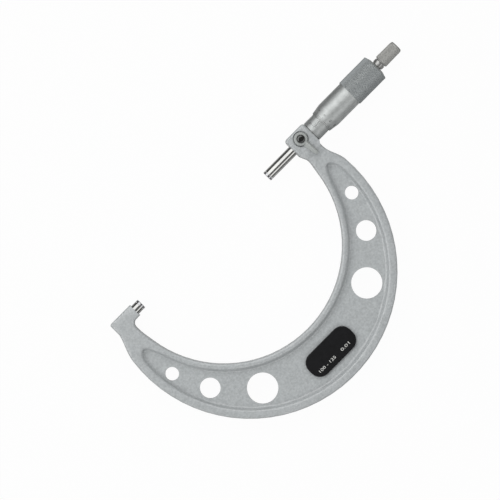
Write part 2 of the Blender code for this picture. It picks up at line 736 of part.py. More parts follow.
def build_spindle(steel, carbide):
    end = THIMBLE_END_X - SEAT_GAP
    hole_end = THIMBLE_END_X - RATCHET_THREAD_LENGTH - SEAT_GAP
    hole_radius = RATCHET_THREAD_DIAMETER / 2 + SEAT_GAP
    thread_start = SCREW_HEAD_END_X + SCREW_THREAD_START
    near = SPINDLE_FACE_X + CARBIDE_THICKNESS + BRAZE_GAP
    profile = [(hole_end, 0.0), (hole_end, hole_radius), (end, hole_radius), (end, taper_radius(end))]
    profile += [(THIMBLE_FLOOR_X, TAPER_SEAT_RADIUS), (THIMBLE_FLOOR_X, SCREW_THREAD_RADIUS)]
    profile += [(thread_start, SCREW_THREAD_RADIUS), (thread_start, SPINDLE_RADIUS)]
    profile += [(near, SPINDLE_RADIUS), (near, 0.0)]
    spindle = finish(turned("spindle", profile), steel)
    tip_end = SPINDLE_FACE_X + CARBIDE_THICKNESS
    rim = SPINDLE_RADIUS - TIP_CHAMFER
    profile = [(tip_end, 0.0), (tip_end, SPINDLE_RADIUS), (SPINDLE_FACE_X + TIP_CHAMFER, SPINDLE_RADIUS)]
    profile += [(SPINDLE_FACE_X, rim), (SPINDLE_FACE_X, 0.0)]
    return [spindle, finish(turned("spindle_tip", profile), carbide)]


def chamfered(name, near, far, near_radius, far_radius, near_chamfer, far_chamfer):
    # An envelope that only trims the ends of what is kept inside it.
    profile = [(far, 0.0), (far, far_radius - far_chamfer)]
    profile += [(far - 2 * far_chamfer, far_radius + far_chamfer)]
    profile += [(near + 2 * near_chamfer, near_radius + near_chamfer)]
    profile += [(near, near_radius - near_chamfer), (near, 0.0)]
    return turned(name, profile)


def build_thimble(material):
    radius = GRIP_DIAMETER / 2
    core = radius - 2 * GRIP_FLUTE_DEPTH
    bevel_end = EDGE_X + THIMBLE_BEVEL_LENGTH
    profile = [(THIMBLE_END_X, 0.0), (THIMBLE_END_X, THIMBLE_CONE_DIAMETER / 2)]
    profile += [(GRIP_END_X - GRIP_CHAMFER, core), (GRIP_X + GRIP_CHAMFER, core)]
    profile += [(GRIP_X + GRIP_CHAMFER, THIMBLE_RADIUS), (bevel_end, THIMBLE_RADIUS)]
    profile += [(EDGE_X, THIMBLE_BORE_RADIUS + THIMBLE_LIP), (EDGE_X, 0.0)]
    thimble = turned("thimble", profile)
    grip = fluted_bar("grip", GRIP_X, GRIP_END_X, radius, radius, GRIP_FLUTE_DEPTH, GRIP_FLUTES)
    keep_inside(grip, chamfered("grip ends", GRIP_X, GRIP_END_X, radius, radius, GRIP_CHAMFER, GRIP_CHAMFER))
    join(thimble, grip)
    beyond = THIMBLE_END_X + THIMBLE_CONE_LENGTH
    ahead = EDGE_X - THIMBLE_CONE_LENGTH
    profile = [(beyond, 0.0), (beyond, taper_radius(beyond) + SEAT_GAP)]
    profile += [(THIMBLE_FLOOR_X, TAPER_SEAT_RADIUS + SEAT_GAP), (THIMBLE_FLOOR_X, THIMBLE_BORE_RADIUS)]
    profile += [(ahead, THIMBLE_BORE_RADIUS), (ahead, 0.0)]
    cut(thimble, turned("thimble bore", profile))
    return finish(thimble, material)


def build_ratchet_screw(material):
    # Its thread draws the thimble on to the spindle's taper, and its stem carries the knob.
    end = KNOB_FLOOR_X - RUN_GAP
    flange_radius = STOP_FLANGE_DIAMETER / 2
    collar_radius = COLLAR_DIAMETER / 2
    neck_radius = NECK_DIAMETER / 2
    thread_radius = RATCHET_THREAD_DIAMETER / 2
    near = THIMBLE_END_X - RATCHET_THREAD_LENGTH
    neck_x = THIMBLE_END_X + SEAT_GAP
    profile = [(end, 0.0), (end, STEM_RADIUS), (STOP_FLANGE_END_X, STEM_RADIUS)]
    profile += [(STOP_FLANGE_END_X, flange_radius), (STOP_FLANGE_X, flange_radius)]
    profile += [(STOP_FLANGE_X, STEM_RADIUS), (COLLAR_END_X, STEM_RADIUS)]
    profile += [(COLLAR_END_X, collar_radius), (COLLAR_X, collar_radius), (COLLAR_X, neck_radius)]
    profile += [(neck_x, neck_radius), (neck_x, thread_radius), (near, thread_radius), (near, 0.0)]
    screw = turned("ratchet_screw", profile, SMALL_STEPS)
    flat_start = WHEEL_X - SEAT_GAP
    for side in (-1, 1):
        inner, outer = sorted((side * STEM_FLAT / 2, side * STEM_DIAMETER))
        low = (flat_start, inner, -STEM_DIAMETER)
        cut(screw, box(f"stem flat {side}", low, (KNOB_FLOOR_X, outer, STEM_DIAMETER)))
    return finish(screw, material)


def face_teeth(name, face_x, facing, outer_radius):
    # Sawteeth round a face: upright where the knob drives the screw back, sloped where it slips.
    inner_radius = WHEEL_BORE_RADIUS + TOOTH_MARGIN
    half = TOOTH_LENGTH / 2
    outline = [(-half, -TOOTH_ROOT), (half, -TOOTH_ROOT), (half, 0.0), (-half, TOOTH_HEIGHT)]
    tooth = plate(name, outline, outer_radius - inner_radius)
    middle = (inner_radius + outer_radius) / 2
    upright = Matrix(((0, facing, 0, face_x), (0, 0, 1, middle), (facing, 0, 0, 0), (0, 0, 0, 1)))
    shape = bmesh.new()
    for i in range(RATCHET_TEETH):
        turn = Matrix.Rotation(math.tau * i / RATCHET_TEETH, 4, "X")
        made = bmesh.new()
        made.from_mesh(tooth.data)
        made.transform(turn @ upright)
        copy = bpy.data.meshes.new(name)
        made.to_mesh(copy)
        made.free()
        shape.from_mesh(copy)
    shape.to_mesh(tooth.data)
    shape.free()
    return tooth


def build_ratchet_wheel(material):
    wheel = rod("ratchet_wheel", WHEEL_X, WHEEL_FACE_X, WHEEL_RADIUS, SMALL_STEPS)
    corner = math.hypot(WHEEL_RADIUS - TOOTH_MARGIN, TOOTH_LENGTH / 2) - (WHEEL_RADIUS - TOOTH_MARGIN)
    join(wheel, face_teeth("wheel teeth", WHEEL_FACE_X, 1, WHEEL_RADIUS - TOOTH_MARGIN - corner))
    near = WHEEL_X - SEAT_GAP
    far = WHEEL_FACE_X + SEAT_GAP
    keyed = rod("wheel bore", near, far, WHEEL_BORE_RADIUS, SMALL_STEPS)
    half = STEM_FLAT / 2 + SEAT_GAP
    wide = STEM_DIAMETER
    keep_inside(keyed, box("wheel bore flats", (WHEEL_X - wide, -half, -wide), (WHEEL_X + wide, half, wide)))
    cut(wheel, keyed)
    return finish(wheel, material)


def build_ratchet_spring(material):
    start = STOP_FLANGE_END_X + SEAT_GAP + SPRING_WIRE / 2
    length = WHEEL_X - SEAT_GAP - SPRING_WIRE / 2 - start
    coil_radius = (STEM_RADIUS + KNOB_BORE_RADIUS) / 2
    curve = bpy.data.curves.new("ratchet_spring", "CURVE")
    curve.dimensions = "3D"
    curve.bevel_depth = SPRING_WIRE / 2
    curve.bevel_resolution = 2
    curve.use_fill_caps = True
    spline = curve.splines.new("POLY")
    steps = SPRING_TURNS * SPRING_TURN_STEPS
    spline.points.add(steps)
    for i, point in enumerate(spline.points):
        angle = math.tau * SPRING_TURNS * i / steps
        x = start + length * i / steps
        point.co = (x, coil_radius * math.cos(angle), coil_radius * math.sin(angle), 1.0)
    spring = bpy.data.objects.new("ratchet_spring", curve)
    place(spring, parts)
    return finish(spring, material)


def build_ratchet_knob(material):
    radius = KNOB_DIAMETER / 2
    end_radius = KNOB_END_DIAMETER / 2
    knob = fluted_bar(
        "ratchet_knob", KNOB_X, KNOB_END_X, radius, end_radius, KNOB_FLUTE_DEPTH, KNOB_FLUTES
    )
    ends = chamfered(
        "knob ends", KNOB_X, KNOB_END_X, radius, end_radius, KNOB_FLUTE_DEPTH, KNOB_CHAMFER
    )
    keep_inside(knob, ends)
    groove = RING_X - SEAT_GAP
    groove_end = RING_END_X + SEAT_GAP
    ahead = KNOB_X - KNOB_GAP
    profile = [(KNOB_FLOOR_X, 0.0), (KNOB_FLOOR_X, KNOB_BORE_RADIUS), (groove_end, KNOB_BORE_RADIUS)]
    profile += [(groove_end, RING_GROOVE_RADIUS), (groove, RING_GROOVE_RADIUS)]
    profile += [(groove, KNOB_BORE_RADIUS), (ahead, KNOB_BORE_RADIUS), (ahead, 0.0)]
    bore = turned("knob bore", profile, SMALL_STEPS)
    cut(bore, face_teeth("knob teeth", KNOB_FLOOR_X, -1, WHEEL_RADIUS - TOOTH_MARGIN))
    cut(knob, bore)
    return finish(knob, material)


def build_retaining_ring(material):
    outer = RING_GROOVE_RADIUS - SEAT_GAP
    clip = ring("retaining_ring", RING_X, RING_END_X, outer, STEM_RADIUS + RUN_GAP, SMALL_STEPS)
    half = RING_OPENING / 2
    cut(clip, box("ring opening", (KNOB_X, 0.0, -half), (STOP_FLANGE_END_X, KNOB_DIAMETER, half)))
    return finish(clip, material)


def build_lock_lever(material):
    radius = LEVER_HUB_DIAMETER / 2
    inner = radius - LEVER_ROUND
    profile = [(HUB_TOP_Z, 0.0), (HUB_TOP_Z, inner), (HUB_TOP_Z - LEVER_ROUND / 3, radius - LEVER_ROUND / 3)]
    profile += [(HUB_TOP_Z - LEVER_ROUND, radius), (HUB_Z, radius), (HUB_Z, 0.0)]
    lever = stand_at_lock(turned("lock_lever", profile, SMALL_STEPS))
    tail_z = HEAD_Z + RUN_GAP
    root = LEVER_ROOT_WIDTH / 2
    tip = LEVER_TIP_WIDTH / 2
    sides = ((-root, 0.0), (-tip, -LEVER_LENGTH), (tip, -LEVER_LENGTH), (root, 0.0))
    tail = plate("lever tail", sides, 2 * LEVER_RIDGE_HEIGHT, LEVER_TAIL_ROUND)
    tail.data.transform(Matrix.Rotation(math.radians(LEVER_TILT), 4, "Z"))
    tail.location = LOCK_PLACE + Vector((0.0, 0.0, tail_z))
    low = tail.location - Vector((LEVER_LENGTH, 2 * LEVER_LENGTH, LEVER_LENGTH))
    high = tail.location + Vector((LEVER_LENGTH, LEVER_LENGTH, 0.0))
    cut(tail, box("under the lever tail", low, high))
    join(lever, tail)
    shank_hole = CLAMP_SHANK_DIAMETER / 2 + SEAT_GAP
    bore = rod("lever bore", HUB_Z - SEAT_GAP, HUB_TOP_Z + LEVER_HUB_HEIGHT, shank_hole, SMALL_STEPS)
    cut(lever, stand_at_lock(bore))
    return finish(lever, material)


def build_clamp_screw(material):
    top = HUB_TOP_Z - SEAT_GAP
    floor = HUB_TOP_Z - LOCK_SCREW_THREAD_LENGTH
    tapped = LOCK_SCREW_THREAD_DIAMETER / 2 + SEAT_GAP
    thread_radius = CLAMP_THREAD_DIAMETER / 2
    shank_radius = CLAMP_SHANK_DIAMETER / 2
    profile = [(floor, 0.0), (floor, tapped), (top, tapped), (top, shank_radius)]
    profile += [(SPOTFACE_Z, shank_radius), (SPOTFACE_Z, thread_radius)]
    profile += [(CLAMP_FOOT_Z, thread_radius), (CLAMP_FOOT_Z, 0.0)]
    return finish(stand_at_lock(turned("clamp_screw", profile, SMALL_STEPS)), material)


def build_lock_screw(material):
    # A domed head with a hexagon socket.
    foot = HUB_TOP_Z + SEAT_GAP
    radius = LOCK_SCREW_DIAMETER / 2
    edge = LOCK_SCREW_HEIGHT / 5
    thread_radius = LOCK_SCREW_THREAD_DIAMETER / 2
    profile = []
    for i in range(CORNER_STEPS + 1):
        angle = math.pi / 2 * i / CORNER_STEPS
        height = edge + (LOCK_SCREW_HEIGHT - edge) * math.cos(angle)
        profile.append((foot + height, radius * math.sin(angle)))
    profile += [(foot, radius), (foot, thread_radius)]
    profile += [(foot - LOCK_SCREW_THREAD_LENGTH, thread_radius), (foot - LOCK_SCREW_THREAD_LENGTH, 0.0)]
    screw = stand_at_lock(turned("lock_screw", profile, SMALL_STEPS))
    top = foot + LOCK_SCREW_HEIGHT
    corner_radius = HEX_SOCKET_WIDTH / math.sqrt(3)
    socket = cone("hexagon socket", corner_radius, corner_radius, 2 * HEX_SOCKET_DEPTH, 6)
    socket.location = LOCK_PLACE + Vector((0.0, 0.0, top))
    cut(screw, socket)
    return finish(screw, material)


def build_clamp_shoe(material):
    # A plug hollowed to the spindle's curve, under the clamp screw.
    shoe = stand_at_lock(rod("clamp_shoe", SHOE_FOOT_Z, CLAMP_FOOT_Z - SEAT_GAP, SHOE_RADIUS, SMALL_STEPS))
    near = LOCK_X - SHOE_DIAMETER
    cut(shoe, rod("shoe hollow", near, LOCK_X + SHOE_DIAMETER, SPINDLE_BORE_RADIUS))
    return finish(shoe, material)


def build_lever_washer(material):
    inner = CLAMP_SHANK_DIAMETER / 2 + RUN_GAP
    washer = ring("lever_washer", WASHER_Z, WASHER_Z + WASHER_THICKNESS, LEVER_HUB_DIAMETER / 2, inner)
    finish(stand_at_lock(washer), material)


def build_range_plate(material):
    web_top = THROAT_DEPTH + INNER_RIM_WIDTH
    web_foot = BOW_DEPTH - OUTER_RIM_WIDTH
    centre = Vector((BOW_MIDDLE_X, -(web_top + web_foot) / 2 - PLATE_BELOW_MIDDLE))
    outline = round_rectangle(centre, PLATE_LENGTH, PLATE_HEIGHT, PLATE_CORNER)
    badge = plate("range_plate", outline, PLATE_THICKNESS, PLATE_RECESS)
    badge.location.z = WEB_Z + SEAT_GAP + PLATE_THICKNESS / 2
    inside = [PLATE_LENGTH - 2 * PLATE_RIM, PLATE_HEIGHT - 2 * PLATE_RIM, PLATE_CORNER - PLATE_RIM]
    recess = plate("plate recess", round_rectangle(centre, *inside), 2 * PLATE_RECESS)
    recess.location.z = WEB_Z + SEAT_GAP + PLATE_THICKNESS
    cut(badge, recess)
    finish(badge, material)


def carrier(name, place_at, riders, parent=None):
    # An empty on a joint's axis, which its riders move with.
    empty = bpy.data.objects.new(name, None)
    empty.empty_display_size = SLEEVE_DIAMETER
    parts.objects.link(empty)
    if parent:
        empty.parent = parent
        empty.location = place_at - parent.location
    else:
        empty.location = place_at
    for obj in riders:
        obj.parent = empty
        obj.matrix_parent_inverse = Matrix.Translation(-place_at)
    return empty


def hang_tools():
    # Each cutter follows the piece that it shapes.
    bpy.context.view_layer.update()
    for obj in list(parts.objects) + list(cutters.objects):
        for modifier in obj.modifiers:
            if modifier.type == "BOOLEAN":
                modifier.object.parent = obj
                modifier.object.matrix_parent_inverse = obj.matrix_world.inverted()


def build():
    enamel = make_material("grey hammer enamel", (0.44, 0.46, 0.45), 0.0, 0.42)
    steel = make_material("hardened steel", (0.56, 0.56, 0.55), 1.0, 0.18)
    carbide = make_material("carbide", (0.30, 0.30, 0.31), 1.0, 0.22)
    turned_steel = make_material("turned steel", (0.45, 0.45, 0.44), 1.0, 0.35)
    chrome = make_material("satin chrome", (0.62, 0.63, 0.62), 1.0, 0.38)
    black = make_material("blacked steel", (0.012, 0.012, 0.013), 0.4, 0.30)
    brass = make_material("brass", (0.65, 0.44, 0.16), 1.0, 0.32)
    gloss_black = make_material("black plate lacquer", (0.010, 0.010, 0.011), 0.0, 0.25)

    build_frame(enamel)
    build_anvil(steel, carbide)
    build_inner_sleeve(turned_steel)
    build_adjusting_nut(turned_steel)
    build_graduated_sleeve(chrome)
    build_lever_washer(turned_steel)
    build_range_plate(gloss_black)

    on_axis = Vector((0.0, 0.0, 0.0))
    spindle_slide = carrier("spindle_slide", on_axis, build_spindle(steel, carbide))
    turning = [build_thimble(chrome), build_ratchet_screw(turned_steel)]
    turning += [build_ratchet_wheel(turned_steel), build_ratchet_spring(steel)]
    thimble_turn = carrier("thimble_turn", on_axis, turning, spindle_slide)
    slipping = [build_ratchet_knob(chrome), build_retaining_ring(steel)]
    carrier("ratchet_turn", on_axis, slipping, thimble_turn)
    locking = [build_lock_lever(chrome), build_clamp_screw(turned_steel), build_lock_screw(black)]
    carrier("lock_turn", LOCK_PLACE, locking)
    carrier("shoe_slide", LOCK_PLACE, [build_clamp_shoe(brass)])
    hang_tools()


clear_scene()
build()
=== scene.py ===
import math

import bmesh
import bpy
from mathutils import Matrix, Vector


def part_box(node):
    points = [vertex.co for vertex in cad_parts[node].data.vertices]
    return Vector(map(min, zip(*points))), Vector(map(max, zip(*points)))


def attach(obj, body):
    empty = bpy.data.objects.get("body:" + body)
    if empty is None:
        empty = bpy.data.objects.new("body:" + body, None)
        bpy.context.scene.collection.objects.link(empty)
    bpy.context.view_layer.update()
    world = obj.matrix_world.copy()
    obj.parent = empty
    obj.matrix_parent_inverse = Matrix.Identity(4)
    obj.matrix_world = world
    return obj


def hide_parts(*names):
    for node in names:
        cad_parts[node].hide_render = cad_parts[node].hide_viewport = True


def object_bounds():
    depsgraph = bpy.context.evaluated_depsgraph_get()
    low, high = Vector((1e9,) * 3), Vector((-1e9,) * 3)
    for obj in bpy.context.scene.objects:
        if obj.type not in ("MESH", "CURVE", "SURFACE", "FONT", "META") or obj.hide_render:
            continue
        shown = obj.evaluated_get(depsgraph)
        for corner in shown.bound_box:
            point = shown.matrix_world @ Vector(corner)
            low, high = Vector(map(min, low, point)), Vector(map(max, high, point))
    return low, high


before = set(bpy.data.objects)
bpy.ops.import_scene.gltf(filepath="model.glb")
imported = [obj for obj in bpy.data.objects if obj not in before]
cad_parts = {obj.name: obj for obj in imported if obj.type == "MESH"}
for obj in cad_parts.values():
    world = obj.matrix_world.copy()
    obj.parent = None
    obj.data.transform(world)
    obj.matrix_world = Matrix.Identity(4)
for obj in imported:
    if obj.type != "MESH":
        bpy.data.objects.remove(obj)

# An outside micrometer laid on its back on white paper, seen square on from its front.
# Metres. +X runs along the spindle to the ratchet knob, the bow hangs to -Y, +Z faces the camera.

mm = 0.001
weldGap = 0.002 * mm  # corners nearer than this become one
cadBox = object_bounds()
print("frame loaded:", len(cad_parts), "nodes")


def linearColour(hexColour):
    # sRGB hex to the linear colour that a socket holds
    found = []
    for i in (1, 3, 5):
        value = int(hexColour[i:i + 2], 16) / 255
        found.append(value / 12.92 if value <= 0.04045 else ((value + 0.055) / 1.055) ** 2.4)
    return (*found, 1.0)


def addNode(tree, kind, settings=None, links=None):
    # one node, its settings by socket or property name, and what feeds it
    node = tree.nodes.new(kind)
    for name, value in (settings or {}).items():
        if isinstance(name, int) or name in node.inputs:
            node.inputs[name].default_value = value
        else:
            setattr(node, name, value)
    for name, source in (links or {}).items():
        tree.links.new(source, node.inputs[name])
    return node


def finishMaterial(name, values):
    # Two tones wander on a coarse noise, and a fine one breaks up the gloss and the surface.
    # grain and fine are real sizes in mm along each axis; bump is a height in mm.
    toneSpread = (0.32, 0.68)  # the part of the noise that goes from one tone to the other
    glossSpread = (0.3, 0.7)
    material = bpy.data.materials.new(name)
    material.use_nodes = True
    tree = material.node_tree
    tree.nodes.clear()
    place = addNode(tree, "ShaderNodeTexCoord")
    noises = []
    for size, detail in ((values["grain"], 3.0), (values["fine"], 2.0)):
        scale = [1 / (axis * mm) for axis in size]
        mapping = addNode(tree, "ShaderNodeMapping", {"Scale": scale}, {"Vector": place.outputs["Object"]})
        settings = {"Scale": 1.0, "Detail": detail, "Roughness": 0.55}
        noise = addNode(tree, "ShaderNodeTexNoise", settings, {"Vector": mapping.outputs["Vector"]})
        noises.append(noise.outputs["Fac"])
    spread = addNode(
        tree,
        "ShaderNodeMapRange",
        {"From Min": toneSpread[0], "From Max": toneSpread[1]},
        {"Value": noises[0]},
    )
    tones = addNode(tree, "ShaderNodeMix", {"data_type": "RGBA"}, {0: spread.outputs["Result"]})
    for socket in tones.inputs:
        if socket.type == "RGBA":
            socket.default_value = linearColour(values["dark" if socket.name == "A" else "light"])
    smoothest, roughest = values["rough"]
    gloss = addNode(
        tree,
        "ShaderNodeMapRange",
        {"From Min": glossSpread[0], "From Max": glossSpread[1], "To Min": smoothest, "To Max": roughest},
        {"Value": noises[1]},
    )
    basic = {"Metallic": values["metallic"], "IOR": values.get("ior", 1.5)}
    shader = addNode(tree, "ShaderNodeBsdfPrincipled", basic)
    tree.links.new([s for s in tones.outputs if s.type == "RGBA"][0], shader.inputs["Base Color"])
    tree.links.new(gloss.outputs["Result"], shader.inputs["Roughness"])
    for name in ("Coat Weight", "Coat Roughness", "Specular IOR Level"):
        if name in values:
            shader.inputs[name].default_value = values[name]
    if values.get("bump"):
        height = addNode(
            tree,
            "ShaderNodeBump",
            {"Strength": values["bumpStrength"], "Distance": values["bump"] * mm},
            {"Height": noises[1]},
        )
        tree.links.new(height.outputs["Normal"], shader.inputs["Normal"])
    addNode(tree, "ShaderNodeOutputMaterial", links={"Surface": shader.outputs["BSDF"]})
    return material


# Hammer enamel: sprayed and stoved, so it sets in a glossy mottle about 1 mm across.
# Every round lip of the casting carries a soft bright line under it.
hammerEnamel = finishMaterial("hammerEnamel", {
    "dark": "#A5A9AA", "light": "#BBBFC0",
    "metallic": 0.0, "ior": 1.5, "rough": (0.30, 0.42), "Coat Weight": 1.0, "Coat Roughness": 0.16,
    "grain": (1.1, 1.1, 1.1), "fine": (0.7, 0.7, 0.7), "bump": 0.055, "bumpStrength": 0.5,
})
# Ground and polished tool steel: it mirrors its surroundings in long bright and dark lines.
# The rings that round grinding leaves are too fine to see, so they are drawn at 0.15 mm.
polishedSteel = finishMaterial("polishedSteel", {
    "dark": "#B0B0AE", "light": "#BCBCB9",
    "metallic": 1.0, "rough": (0.1, 0.16),
    "grain": (6.0, 6.0, 6.0), "fine": (0.15, 30.0, 30.0), "bump": 0.002, "bumpStrength": 0.3,
})
# Lapped carbide: greyer than steel, with a fine even sheen
lappedCarbide = finishMaterial("lappedCarbide", {
    "dark": "#A6A6A8", "light": "#B2B2B4",
    "metallic": 1.0, "rough": (0.14, 0.20),
    "grain": (1.5, 1.5, 1.5), "fine": (0.2, 0.2, 0.2), "bump": 0.001, "bumpStrength": 0.2,
})
# Turned steel, bright from the lathe: rings every 0.2 mm round the axis draw the light out along it
turnedSteel = finishMaterial("turnedSteel", {
    "dark": "#9E9E9C", "light": "#ACACAA",
    "metallic": 1.0, "rough": (0.36, 0.44),
    "grain": (3.0, 3.0, 3.0), "fine": (0.2, 20.0, 20.0), "bump": 0.004, "bumpStrength": 0.4,
})
# Satin chrome: blasted with fine bead and plated, so highlights spread softly
satinChrome = finishMaterial("satinChrome", {
    "dark": "#B8BBBA", "light": "#C6C9C8",
    "metallic": 1.0, "rough": (0.50, 0.58),
    "grain": (2.5, 2.5, 2.5), "fine": (0.25, 0.25, 0.25), "bump": 0.006, "bumpStrength": 0.3,
})
# The knob is plated nickel, warmer and duller than the chrome beside it
satinNickel = finishMaterial("satinNickel", {
    "dark": "#B5B5B2", "light": "#BBBBB8",
    "metallic": 1.0, "rough": (0.64, 0.74),
    "grain": (0.9, 0.9, 0.9), "fine": (0.3, 0.3, 0.3), "bump": 0.002, "bumpStrength": 0.3,
})
# Knurled satin chrome: the same plate, its colour painted darker as painted shade standing in for the shade
# that the ridges cast on one another
knurledChromePaintedShade = finishMaterial("knurledChromePaintedShade", {
    "dark": "#A1A5A6", "light": "#A6AAAB",
    "metallic": 1.0, "rough": (0.66, 0.76),
    "grain": (1.0, 1.0, 1.0), "fine": (0.3, 0.3, 0.3), "bump": 0.002, "bumpStrength": 0.3,
})
# Satin lacquer of the lever: near the bow's grey, but smooth, so its ridge and rim read clearly
satinLacquer = finishMaterial("satinLacquer", {
    "dark": "#A6AAA8", "light": "#B0B4B2",
    "metallic": 0.0, "ior": 1.5, "rough": (0.30, 0.38),
    "grain": (1.6, 1.6, 1.6), "fine": (0.6, 0.6, 0.6), "bump": 0.01, "bumpStrength": 0.3,
})
# Blacked steel: a hot black oxide, oiled, so it mirrors only the lamp and is black elsewhere
blackOxide = finishMaterial("blackOxide", {
    "dark": "#525352", "light": "#5B5C5B",
    "metallic": 1.0, "rough": (0.10, 0.14),
    "grain": (0.8, 0.8, 0.8), "fine": (0.2, 0.2, 0.2), "bump": 0.003, "bumpStrength": 0.3,
})
# Plate: black stoving lacquer on brass, semi-gloss, with a trace of orange peel
plateLacquer = finishMaterial("plateLacquer", {
    "dark": "#09090B", "light": "#0F0F12",
    "metallic": 0.0, "ior": 1.5, "rough": (0.28, 0.36), "Specular IOR Level": 0.35,
    "grain": (3.0, 3.0, 3.0), "fine": (0.5, 0.5, 0.5), "bump": 0.006, "bumpStrength": 0.3,
})
# Turned brass of the clamp shoe: warm yellow, with the lathe's rings 0.2 mm apart
turnedBrass = finishMaterial("turnedBrass", {
    "dark": "#B8974E", "light": "#C9A961",
    "metallic": 1.0, "rough": (0.25, 0.35),
    "grain": (1.0, 1.0, 1.0), "fine": (4.0, 4.0, 0.2), "bump": 0.003, "bumpStrength": 0.3,
})
# Etched and filled marks: matt black ink in the cut
markInk = finishMaterial("markInk", {
    "dark": "#1C1C1E", "light": "#29292B",
    "metallic": 0.0, "ior": 1.5, "rough": (0.55, 0.70),
    "grain": (0.5, 0.5, 0.5), "fine": (0.2, 0.2, 0.2),
})
# Pale ink printed on the plate: flat and a little grey, so it doesn't glare on the black
paleInk = finishMaterial("paleInk", {
    "dark": "#CFCFCB", "light": "#DEDEDA",
    "metallic": 0.0, "ior": 1.5, "rough": (0.50, 0.60),
    "grain": (0.5, 0.5, 0.5), "fine": (0.2, 0.2, 0.2),
})
print("finishes made:", len(bpy.data.materials))


def addPiece(name, mesh, material, body, replaced=(), sharp=40):
    # a finished piece on its body, shaded round up to the sharp angle
    mesh.materials.clear()
    mesh.materials.append(material)
    mesh.shade_smooth()
    mesh.set_sharp_from_angle(angle=math.radians(sharp))
    obj = bpy.data.objects.new(name, mesh)
    bpy.context.scene.collection.objects.link(obj)
    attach(obj, body)
    if replaced:
        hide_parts(*replaced)
    return obj


def smoothCopy(name, node, material, body, sharp=40):
    # the node's own shape with its triangles joined up, so that its curves shade as curves
    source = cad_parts[node].data
    mesh = bpy.data.meshes.new(name)
    mesh.from_pydata([v.co for v in source.vertices], [], [tuple(p.vertices) for p in source.polygons])
    shape = bmesh.new()
    shape.from_mesh(mesh)
    bmesh.ops.remove_doubles(shape, verts=shape.verts, dist=weldGap)
    shape.to_mesh(mesh)
    shape.free()
    obj = addPiece(name, mesh, material, body, [node], sharp)
    weight = obj.modifiers.new("faceWeighted", "WEIGHTED_NORMAL")
    weight.keep_sharp = True
    return obj


def latheMesh(name, profile, steps=144):
    # turns (x, radius) points in metres about X; the profile ends on the axis or on its first point
    shape = bmesh.new()
    rings = []
    for x, radius in profile:
        if radius == 0:
            rings.append([shape.verts.new((x, 0, 0))] * steps)
            continue
        turns = [math.tau * i / steps for i in range(steps)]
        rings.append([shape.verts.new((x, radius * math.cos(a), radius * math.sin(a))) for a in turns])
    if profile[0][1] > 0:
        rings.append(rings[0])
    for near, far in zip(rings, rings[1:]):
        for i in range(steps):
            j = (i + 1) % steps
            corners = list(dict.fromkeys((near[i], near[j], far[j], far[i])))
            if len(corners) > 2:
                shape.faces.new(corners)
    bmesh.ops.recalc_face_normals(shape, faces=shape.faces)
    mesh = bpy.data.meshes.new(name)
    shape.to_mesh(mesh)
    shape.free()
    return mesh


def roundedProfile(points, size, steps=3):
    # softens each corner of a profile with a small arc-like bend
    mostOfSide = 0.45
    found = []
    closed = points[0][1] > 0
    for i, here in enumerate(points):
        if not closed and i in (0, len(points) - 1):
            found.append(here)
            continue
        here = Vector(here)
        before = Vector(points[i - 1]) - here
        after = Vector(points[(i + 1) % len(points)]) - here
        reach = min(size, before.length * mostOfSide, after.length * mostOfSide)
        start = here + before.normalized() * reach
        end = here + after.normalized() * reach
        for k in range(steps + 1):
            t = k / steps
            found.append(tuple(start * (1 - t) ** 2 + here * 2 * t * (1 - t) + end * t**2))
    return found


